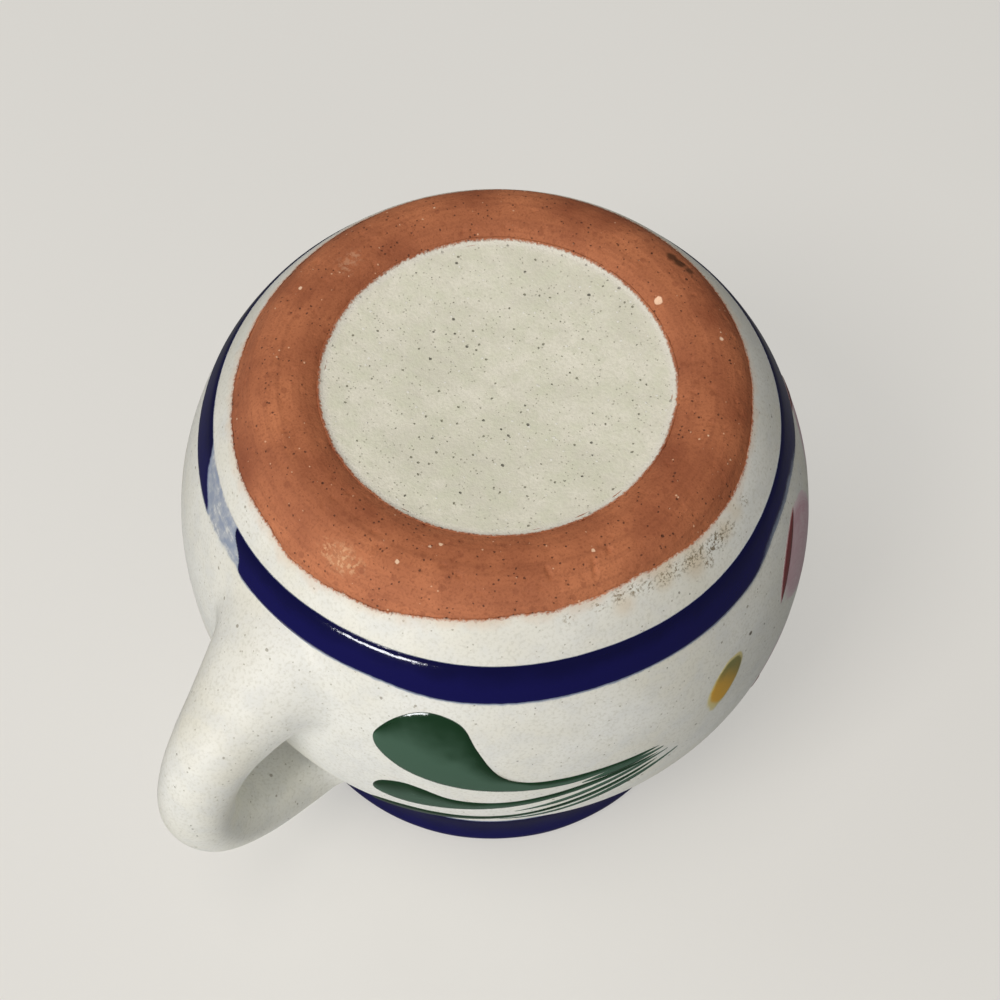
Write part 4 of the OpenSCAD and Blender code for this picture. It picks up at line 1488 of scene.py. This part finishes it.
@dataclass(frozen=True)
class Brushwork:
    """The painted bands and the spray: a flower, with a leaf group and a dab on each side."""

    form: MugForm
    band_z: float = 11.1
    band_w: float = 5.2
    band_low_waves: Outline = ((0.16, 2, 0.6), (0.1, 7, 0))
    band_high_waves: Outline = ((0.2, 3, 2.2), (0.1, 8, 1))
    band_spill: float = 0.15
    lip_band_z: float = 72.5
    lip_low_waves: Outline = ((0.35, 2, 1), (0.2, 5, 0), (0.12, 11, 2))
    lip_band_in_z: float = 78.0
    lip_in_waves: Outline = ((0.4, 3, 2), (0.25, 7, 1))
    flower_angle: float = -130.0
    flower_z: float = 36.0
    flower_r: float = 20.0
    heart_r: float = 3.6
    petals: int = 5
    petal_soft_mm: float = 2.4
    petal_stroke_w: float = 1.8
    leaf_swing: float = 82.5
    leaf_z: float = 30.5
    leaf_reach: float = 38.5
    leaf_drop: float = 15.0
    tail_w: float = 0.6
    tail_grow: float = 0.22
    tail_lift: float = 0.12
    tail_crisp_mm: float = 0.12
    petal_line_crisp_mm: float = 0.8
    heart_soft_mm: float = 0.7
    bud_soft_mm: float = 2.3
    bud_swing: float = 43.3
    bud_z: float = 25.0
    bud_reach: tuple[float, float] = (3.5, 4.5)
    bud_half_w: float = 2.7
    # Leaves and tails are in shares of the group's reach and drop, petals in shares of the
    # flower's radius. A third number is a share of the stroke's half width, and a tip is the
    # number of a leaf's point at the end of its head.
    large_leaf: Outline = (
        (0, -.09), (.20, -.09), (.34, -.08), (.48, -.11), (.57, -.26), (.64, -.62), (.68, -.87),
        (.74, -.97), (.81, -.98), (.88, -.89), (.94, -.74), (.98, -.56), (.97, -.38), (.90, -.18),
        (.80, -.05), (.68, .03), (.55, .06), (.43, .06), (.29, .02), (.19, -.03))
    middle_leaf: Outline = (
        (0, .04), (.10, .06), (.24, .12), (.38, .21), (.53, .30), (.64, .32), (.74, .28),
        (.83, .15), (.90, .11), (.97, .21), (1, .39), (.98, .53), (.89, .61), (.76, .58),
        (.61, .50), (.47, .40), (.33, .27), (.17, .14))
    small_leaf: Outline = (
        (0, .15), (.15, .30), (.34, .53), (.51, .73), (.67, .84), (.80, .84), (.91, .83), (1, .91),
        (1.01, 1.09), (.93, 1.19), (.80, 1.17), (.67, 1.05), (.51, .84), (.34, .61), (.15, .36))
    tips: tuple[int, ...] = (11, 10, 8)
    tails: tuple[Outline, ...] = (
        ((.28, .085, .3), (.19, .035, 1.2), (.10, 0, 1.2), (-.01, -.03, .3)),
        ((.51, .59, .2), (.36, .435, 1), (.20, .255, 1), (.07, .125, .8), (-.03, .06, .2)),
        ((.56, 1, .2), (.43, .85, 1), (.28, .65, 1), (.12, .42, 1.3), (-.07, .16, .3)))
    petal: Outline = (
        (0, .30), (.12, .34), (.27, .48), (.38, .70), (.40, .94), (.27, 1.12), (0, 1.19))
    petal_stroke: Outline = (
        (-.40, 1.06, .12), (-.28, 1.10, .5), (-.12, 1.13, .68), (.04, 1.135, .68),
        (.18, 1.12, .5), (.30, 1.09, .12))

    def foot_band(self) -> Ribbon:
        """Lay the foot band: one stroke round the mug, its start and end met by a watery patch."""
        theta = np.linspace(0, 2 * math.pi, 721)
        turn = np.degrees(theta)
        low = self.band_z - self.band_w / 2 + waves(theta, self.band_low_waves)
        high = self.band_z + self.band_w / 2 + waves(theta, self.band_high_waves)
        # The band is narrower at its back, where its thinned slip is partly a painted reflection,
        # and by the handle, in mm and degrees.
        high = high - 1.1 * smooth_step(225, 240, turn) * smooth_step(262, 248, turn)
        high = high - 0.65 * np.maximum(smooth_step(324, 342, turn), smooth_step(26, 14, turn))
        return Ribbon((theta, self.form.s_at_z(low)),
                      (theta, self.form.s_at_z(high + self.band_spill)),
                      lift_mm=0.25, first_crisp_mm=0.15, second_crisp_mm=1.2,
                      round_mm=0.6, closed=True, load=foot_load, rows=900, columns=26)

    def lip_band(self) -> Ribbon:
        """Lay the lip band over the lip, from the shoulder to just inside."""
        theta = np.linspace(0, 2 * math.pi, 721)
        low = self.lip_band_z + waves(theta, self.lip_low_waves)
        inner = self.lip_band_in_z + waves(theta, self.lip_in_waves)
        crest = self.form.height_at_lip

        def lip_load(along: np.ndarray, across: np.ndarray, flat: np.ndarray) -> np.ndarray:
            """Thin the slip on the lip's crest, where it runs off."""
            return 1 - 0.25 * smooth_step(crest - 1.2, crest, flat[..., 2])

        return Ribbon((theta, self.form.s_at_z(low)),
                      (theta, self.form.s_at_z(inner, inside=True)),
                      lift_mm=0.2, first_crisp_mm=0.5, second_crisp_mm=0.5,
                      round_mm=0.6, closed=True, load=lip_load, rows=720, columns=40)

    def on_group(self, shares: np.ndarray, side: int) -> np.ndarray:
        """Give a leaf group's flat places in mm from shares of its reach and drop."""
        return np.stack((side * (shares[:, 0] - 0.5) * self.leaf_reach,
                         self.leaf_z + shares[:, 1] * self.leaf_drop), 1)

    def on_mug(self, flat: np.ndarray, swing: float) -> Edge:
        """Carry a flat drawing onto the mug, its middle at a turn in degrees from the flower."""
        return self.form.flat_to_wall(flat[:, 0], flat[:, 1], self.flower_angle + swing)

    def leaf(self, outline: Outline, tip: int, side: int) -> Ribbon:
        """Lay one leaf: a full round head that the brush draws out into a tail.

        Args:
            outline: Shares of the reach and the drop, from the tail along one edge and back.
            tip: Number of the point at the head's end.
            side: 1 for the group by the handle, -1 for its mirror image.

        Returns:
            The stroke.
        """
        steps = 10
        smooth = flowing_line(outline, steps, closed=True)
        edges = []
        for half, way in ((smooth[:tip * steps + 1], -1), (smooth[tip * steps:][::-1], 1)):
            in_tail = smooth_step(0, 0.06, half[:, 0]) * smooth_step(0.5, 0.25, half[:, 0])
            fuller = half + np.outer(in_tail, (0, way * self.tail_grow / self.leaf_drop))
            flat = self.on_group(evenly(fuller, 160, 0.75), side)
            edges.append(self.on_mug(flat, side * self.leaf_swing))
        return Ribbon(*edges, lift_mm=0.22, first_crisp_mm=0.12, second_crisp_mm=0.16,
                      round_mm=0.7, load=leaf_load, rows=130, columns=30)

    def drawn(self, spine: np.ndarray, swing: float, crisp_mm: float) -> Ribbon:
        """Draw a stroke of changing width along a line.

        Args:
            spine: Rows of x, z and half width in mm.
            swing: Turn of the drawing's middle from the flower's in degrees.
            crisp_mm: Width of its soft edge.

        Returns:
            The stroke.
        """
        along = np.gradient(spine[:, :2], axis=0)
        side = np.stack((-along[:, 1], along[:, 0]), 1) / np.linalg.norm(along, axis=1)[:, None]
        edges = [self.on_mug(spine[:, :2] + sign * side * spine[:, 2:], swing) for sign in (-1, 1)]
        return Ribbon(*edges, lift_mm=self.tail_lift, first_crisp_mm=crisp_mm,
                      second_crisp_mm=crisp_mm, round_mm=0.3, rows=90, columns=10)

    def leaf_tails(self, side: int) -> list[Ribbon]:
        """Lay the thin brush tails between the leaves."""
        ribbons = []
        for tail in self.tails:
            spine = evenly(flowing_line(tail, 12), 90)
            spine = np.column_stack((self.on_group(spine, side), spine[:, 2] * self.tail_w))
            ribbons.append(self.drawn(spine, side * self.leaf_swing, self.tail_crisp_mm))
        return ribbons

    def dab(self, reach: tuple[float, float], half_width: float, z: float, swing: float,
            soft_mm: float) -> Ribbon:
        """Lay a rounded dab of slip.

        Args:
            reach: From its middle to its far end in mm, round the mug and up.
            half_width: Half its width in mm.
            z: Height of its middle.
            swing: Turn of its middle from the flower's in degrees.
            soft_mm: Width of its soft edge.

        Returns:
            The stroke.
        """
        turn = np.linspace(0, math.pi, 80)
        bulge = np.sin(turn) * (1 + 0.07 * np.sin(3 * turn + 1))
        side = np.array((-reach[1], reach[0])) / math.hypot(*reach) * half_width
        across = np.outer(np.cos(turn), side) - (0, z)
        edges = [self.on_mug(sign * np.outer(bulge, reach) - across, swing) for sign in (-1, 1)]
        return Ribbon(*edges, lift_mm=0.08, first_crisp_mm=soft_mm, second_crisp_mm=1.6 * soft_mm,
                      load=dab_load, rows=50, columns=26)

    def flower(self, paint: Paint) -> list[Ribbon]:
        """Lay the flower's petals, or the darker stroke along each.

        Args:
            paint: PINK for the washes, RED for the strokes.

        Returns:
            One stroke for each petal.
        """
        ribbons = []
        for turn in 2 * math.pi * np.arange(self.petals) / self.petals:
            spin = np.array(((math.cos(turn), math.sin(turn)), (-math.sin(turn), math.cos(turn))))
            middle = (0, self.flower_z)
            if paint is Paint.PINK:
                right = evenly(flowing_line(self.petal, 12), 120, 0.7) * self.flower_r
                edges = [self.on_mug((right * (sign, 1)) @ spin + middle, 0) for sign in (1, -1)]
                ribbons.append(Ribbon(*edges, lift_mm=0.06, first_crisp_mm=self.petal_soft_mm,
                                      second_crisp_mm=self.petal_soft_mm, load=petal_load,
                                      rows=70, columns=30))
            else:
                spine = evenly(flowing_line(self.petal_stroke, 12), 90)
                places = spine[:, :2] * self.flower_r @ spin + middle
                spine = np.column_stack((places, spine[:, 2] * self.petal_stroke_w))
                ribbons.append(self.drawn(spine, 0, self.petal_line_crisp_mm))
        return ribbons

    def brushed(self, ribbons: Iterable[Ribbon], name: str, node: str,
                material: Material) -> Piece:
        """Build one piece of brushwork from its strokes.

        Args:
            ribbons: The strokes.
            name: Name of the new object.
            node: CAD node that it replaces.
            material: Finish of the slip.

        Returns:
            The new object.
        """
        bm = bmesh.new()
        bm.verts.layers.float.new("load")
        bm.verts.layers.float.new("across")
        bm.loops.layers.uv.new("brush")
        for ribbon in ribbons:
            ribbon.add_to(bm, self.form)
        return finish_piece(bm, name, node, material)

    def build(self, glaze: TinGlaze) -> list[Piece]:
        """Build every band and stroke.

        Args:
            glaze: The ground that the slips lie on.

        Returns:
            The new objects.
        """
        heart = self.dab((0, self.heart_r), self.heart_r, self.flower_z, 0, self.heart_soft_mm)
        plan: list[tuple[str, str, Paint, list[Ribbon]]] = [
            ("foot_stroke", "foot_band", Paint.COBALT, [self.foot_band()]),
            ("lip_stroke", "lip_band", Paint.COBALT, [self.lip_band()]),
            ("petal_washes", "petal_wash", Paint.PINK, self.flower(Paint.PINK)),
            ("petal_lines", "petal_strokes", Paint.RED, self.flower(Paint.RED)),
            ("heart_dab", "flower_heart", Paint.YELLOW, [heart])]
        leaves = ("large_leaf", "middle_leaf", "small_leaf")
        outlines = (self.large_leaf, self.middle_leaf, self.small_leaf)
        for side, prefix in ((1, ""), (-1, "far_")):
            plan += [(f"{prefix}{leaf}_stroke", f"{prefix}{leaf}", Paint.LEAF,
                      [self.leaf(outline, tip, side)])
                     for leaf, outline, tip in zip(leaves, outlines, self.tips)]
            bud = self.dab((side * self.bud_reach[0], self.bud_reach[1]), self.bud_half_w,
                           self.bud_z, side * self.bud_swing, self.bud_soft_mm)
            plan += [(f"{prefix}tail_strokes", f"{prefix}leaf_tails", Paint.LEAF,
                      self.leaf_tails(side)),
                     (f"{prefix}bud_dab", f"{prefix}bud", Paint.YELLOW, [bud])]
        finishes = {paint: slip.material(f"{paint.value}_brushed", glaze)
                    for paint, slip in SLIPS.items()}
        return [self.brushed(ribbons, name, node, finishes[paint])
                for name, node, paint, ribbons in plan]


@dataclass(frozen=True)
class Lamp:
    """A soft lamp that looks at the mug, lights it or not, and is mirrored in the glaze or not.

    Its turn and height are angles in degrees, its distance and sizes are in metres.
    """

    name: str
    theta: float
    height: float
    away: float
    size: float
    watts: float
    colour: str = "#ffffff"
    tall: float = 0.0
    mirrored: bool = True
    lights: bool = True


@dataclass(frozen=True)
class Studio:
    """A pale floor on each side the mug can stand on, soft lamps, a pale room and the camera."""

    aim: tuple[float, float, float] = (0.0, 0.0, 0.035)
    lamps: tuple[Lamp, ...] = (
        Lamp("key", 0, -50, 0.75, 0.23, 2.2, "#fffaf4"),
        Lamp("below", 0, -75, 0.75, 0.3, 1.3, "#fffaf4", mirrored=False),
        Lamp("window", -12, 24, 0.75, 0.3, 2.2, "#fbfcff", tall=0.2, mirrored=False),
        Lamp("pane", -9, -12, 0.75, 0.32, 3.6, "#fbfcff", tall=0.15, lights=False),
        Lamp("side", 60, -50, 0.75, 0.3, 0.6, "#f6f9ff"),
        Lamp("fill", -72, -20, 0.75, 0.35, 0.6, "#fbfcff", mirrored=False),
        Lamp("top", -60, 74, 0.8, 0.45, 2.0, "#fffaf4", mirrored=False),
        Lamp("far_back", 165, 24, 0.9, 0.4, 1.3, "#f8faff", tall=0.3, mirrored=False))
    room: str = "#e9e8e4"
    room_light: float = 0.24
    room_mirror: float = 0.11
    floor: str = "#e6e4df"
    floor_half: float = 1.6
    floor_glow: float = 0.55
    # The photograph's camera, worked out from the mug's outline and the ellipses of its foot: its
    # place in mm, where it looks, and what is up for it.
    camera_at: tuple[float, float, float] = (92.67, -84.92, -180.56)
    camera_ahead: tuple[float, float, float] = (-0.37715, 0.34202, 0.86068)
    camera_up: tuple[float, float, float] = (-0.61905, 0.59812, -0.50895)
    lens: float = 61.39
    sensor: float = 36.0
    nearest: float = 0.005

    def add_camera(self) -> None:
        """Place the camera where the photograph was taken, looking up at the foot."""
        data = bpy.data.cameras.new("photo_camera")
        data.lens, data.sensor_width, data.clip_start = self.lens, self.sensor, self.nearest
        camera = bpy.data.objects.new("photo_camera", data)
        back = -Vector(self.camera_ahead).normalized()
        side = Vector(self.camera_up).cross(back).normalized()
        turn = Matrix((side, back.cross(side), back)).transposed().to_4x4()
        camera.matrix_world = Matrix.Translation(Vector(self.camera_at) * MM) @ turn
        bpy.context.scene.collection.objects.link(camera)
        bpy.context.scene.camera = camera

    def add_lamp(self, lamp: Lamp) -> None:
        """Hang one lamp so that it faces the mug."""
        data = bpy.data.lights.new(lamp.name, "AREA")
        data.shape, data.size, data.size_y = "RECTANGLE", lamp.size, lamp.tall or lamp.size
        data.energy, data.color = lamp.watts, linear(lamp.colour)[:3]
        turn, rise = math.radians(lamp.theta), math.radians(lamp.height)
        out = Vector((math.cos(turn) * math.cos(rise), math.sin(turn) * math.cos(rise),
                      math.sin(rise)))
        light = bpy.data.objects.new(lamp.name, data)
        light.location = Vector(self.aim) + out * lamp.away
        light.rotation_euler = out.to_track_quat("Z", "Y").to_euler()
        light.visible_camera = False
        light.visible_glossy = lamp.mirrored
        light.visible_diffuse = lamp.lights
        bpy.context.scene.collection.objects.link(light)

    def add_floor(self, name: str, height: float, facing_up: bool) -> None:
        """Lay a floor that shows from its own side only, and lets the lamps behind it through.

        Args:
            name: Name of the floor.
            height: Height in metres.
            facing_up: Whether it is seen from above.
        """
        bm = bmesh.new()
        bmesh.ops.create_grid(bm, x_segments=1, y_segments=1, size=self.floor_half,
                              matrix=Matrix.Translation((0, 0, height)))
        if not facing_up:
            bmesh.ops.reverse_faces(bm, faces=bm.faces[:])
        mesh_object(bm, name, self.floor_material(name))

    def floor_material(self, name: str) -> Material:
        """Make plain pale matt paper, seen from its front by the camera alone."""
        material, tree = new_material(f"{name}_paper")
        ray = add_node(tree, "ShaderNodeLightPath")
        behind = add_node(tree, "ShaderNodeNewGeometry").outputs["Backfacing"]
        front = add_node(tree, "ShaderNodeMath", {0: 1.0, 1: behind}, operation="SUBTRACT")
        seen = add_node(tree, "ShaderNodeMath", {
            0: ray.outputs["Is Camera Ray"], 1: front.outputs[0]}, operation="MULTIPLY")
        paper = add_node(tree, "ShaderNodeBsdfDiffuse", {"Color": linear(self.floor)})
        glow = add_node(tree, "ShaderNodeEmission", {"Color": linear(self.floor), "Strength": 1.0})
        sheet = add_node(tree, "ShaderNodeMixShader", {
            0: self.floor_glow, 1: paper.outputs[0], 2: glow.outputs[0]})
        clear = add_node(tree, "ShaderNodeBsdfTransparent")
        shown = add_node(tree, "ShaderNodeMixShader", {
            0: seen.outputs[0], 1: clear.outputs[0], 2: sheet.outputs[0]})
        add_node(tree, "ShaderNodeOutputMaterial", {"Surface": shown.outputs[0]})
        return material

    def add_room(self) -> None:
        """Give the pale room: plain to the camera, softer as light and in the glaze's gloss."""
        world = bpy.data.worlds.new("pale_room")
        bpy.context.scene.world = world
        tree = empty_tree(world)
        ray = add_node(tree, "ShaderNodeLightPath")
        mirrored = add_node(tree, "ShaderNodeMath", {
            0: ray.outputs["Is Glossy Ray"], 1: ray.outputs["Is Transmission Ray"]},
            operation="MAXIMUM")
        seen = add_node(tree, "ShaderNodeMapRange", {
            "Value": ray.outputs["Is Camera Ray"], "To Min": self.room_light, "To Max": 1.0})
        level = add_node(tree, "ShaderNodeMapRange", {
            "Value": mirrored.outputs[0], "To Min": seen.outputs[0], "To Max": self.room_mirror})
        light = add_node(tree, "ShaderNodeBackground", {
            "Color": linear(self.room), "Strength": level.outputs[0]})
        add_node(tree, "ShaderNodeOutputWorld", {"Surface": light.outputs[0]})

    def build(self, lip_z: float) -> None:
        """Set up the room, floors, lamps and camera.

        Args:
            lip_z: Height of the lip in metres, where the mug stands upside down.
        """
        self.add_room()
        self.add_floor("floor", 0.0, facing_up=True)
        self.add_floor("lip_floor", lip_z, facing_up=False)
        for lamp in self.lamps:
            self.add_lamp(lamp)
        self.add_camera()
        bpy.context.scene.view_settings.view_transform = "Standard"


CLAY_BLOTS = (
    Blot(-163.9, 24.6, 0.66, "#fbd3b2", 1.0, 0.25), Blot(-145.3, 29.9, 0.36, "#efcdb0"),
    Blot(74.1, 29.9, 0.34, "#ecc7a8"), Blot(-25.4, 26.6, 0.34, "#f0cfb4"),
    Blot(-28.1, 26.0, 0.28, "#e9c3a3"), Blot(-67.6, 28.4, 0.3, "#e9c3a3"),
    Blot(-19.5, 30.0, 0.3, "#eac6a6"), Blot(-173.9, 30.8, 1.1, "#50301a", 0.85, 0.6),
    Blot(-171.3, 31.0, 1.2, "#50301a", 0.9, 0.6), Blot(-168.2, 31.4, 1.0, "#56341f", 0.8, 0.6),
    Blot(-11.5, 32.4, 1.8, "#dcab80", 0.6, 0.9, True),
    Blot(-7.4, 32.6, 2.8, "#e2b48a", 0.75, 0.9, True), Blot(-7.4, 32.6, 2.6, "#d9a57a", 0.25, 0.9),
    Blot(-3.2, 32.5, 1.9, "#dcab80", 0.6, 0.9, True),
    Blot(86.8, 27.0, 2.2, "#c79474", 0.6, 0.9, True),
    Blot(91.0, 27.3, 1.8, "#c79474", 0.6, 0.9, True))

# A tan tint and a crumbly grime along the hem, where the wiped glaze caught clay and dust.
GLAZE_BLOTS = tuple(Blot(*row, on_glaze=True) for row in (
    (-94.6, 20.3, 0.4, "#60574a", 0.9), (-70.0, 4.4, 2.4, "#dccaae", 0.5, 0.9),
    (-88.0, 4.8, 3.2, "#d3bf9e", 0.6, 0.9), (-98.0, 4.8, 2.4, "#d3bf9e", 0.5, 0.9),
    (-80.0, 4.0, 2.6, "#d6c4a4", 0.5, 0.9), (-103.0, 4.6, 2.2, "#d6c4a4", 0.4, 0.9))) + tuple(
    Blot(*row, strength=0.9, soft=0.75, crumbly=True, on_glaze=True) for row in (
        (-58.0, 4.0, 1.0, "#98896e"), (-64.5, 3.5, 1.1, "#98896e"), (-69.5, 3.3, 1.5, "#8c7c62"),
        (-73.0, 3.4, 1.3, "#8c7c62"), (-76.2, 3.6, 1.7, "#857557"), (-79.8, 3.9, 1.4, "#857557"),
        (-82.6, 3.9, 1.9, "#857557"), (-86.4, 4.3, 1.6, "#7c6d50"), (-89.6, 4.4, 2.1, "#7c6d50"),
        (-93.2, 4.9, 1.7, "#74664a"), (-96.0, 4.8, 2.2, "#74664a"), (-99.8, 5.2, 1.5, "#8a7a60"),
        (-91.0, 6.0, 1.2, "#8a7a60"), (-106.5, 4.9, 1.3, "#98896e")))


def dress_hidden_clay(clay: Terracotta, form: MugForm) -> None:
    """Give the handle's clay core and its joining slip their finishes, as they stay under glaze.

    Args:
        clay: The mug's clay.
        form: The thrown form.
    """
    core = clay.material("terracotta_core", form)
    slip = replace(clay, light="#c07450", deep="#9c583c", roughness=0.86)
    joint = slip.material("joining_slip", form)
    for node, material in (
            ("handle_clay", core), ("lower_luting", joint), ("upper_luting", joint)):
        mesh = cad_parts[node].data
        mesh.materials.clear()
        mesh.materials.append(material)


def main() -> None:
    """Build the mug's pieces and the studio, and report them."""
    logging.basicConfig(level=logging.INFO, format="%(name)s: %(message)s", stream=sys.stdout)
    form = MugForm(belly_r=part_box("outside_glaze")[1].y / MM,
                   recess_r=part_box("base_glaze")[1].y / MM)
    clay, glaze = Terracotta(), TinGlaze()
    white = glaze.material("white_tin_glaze")
    pieces = ThrownBody(form).build(clay, glaze, white, BaseWash())
    pieces.append(StrapHandle(form).build(white))
    pieces += Brushwork(form).build(glaze)
    for piece in pieces:
        LOG.info("%s: %d faces", piece.name, len(piece.data.polygons))
    dress_hidden_clay(clay, form)
    Studio().build(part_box("lip_band")[1].z)
    LOG.info("clay line: %.1f mm, belly radius %.2f mm", form.end_s, form.belly_r)


if __name__ == "__main__":
    main()
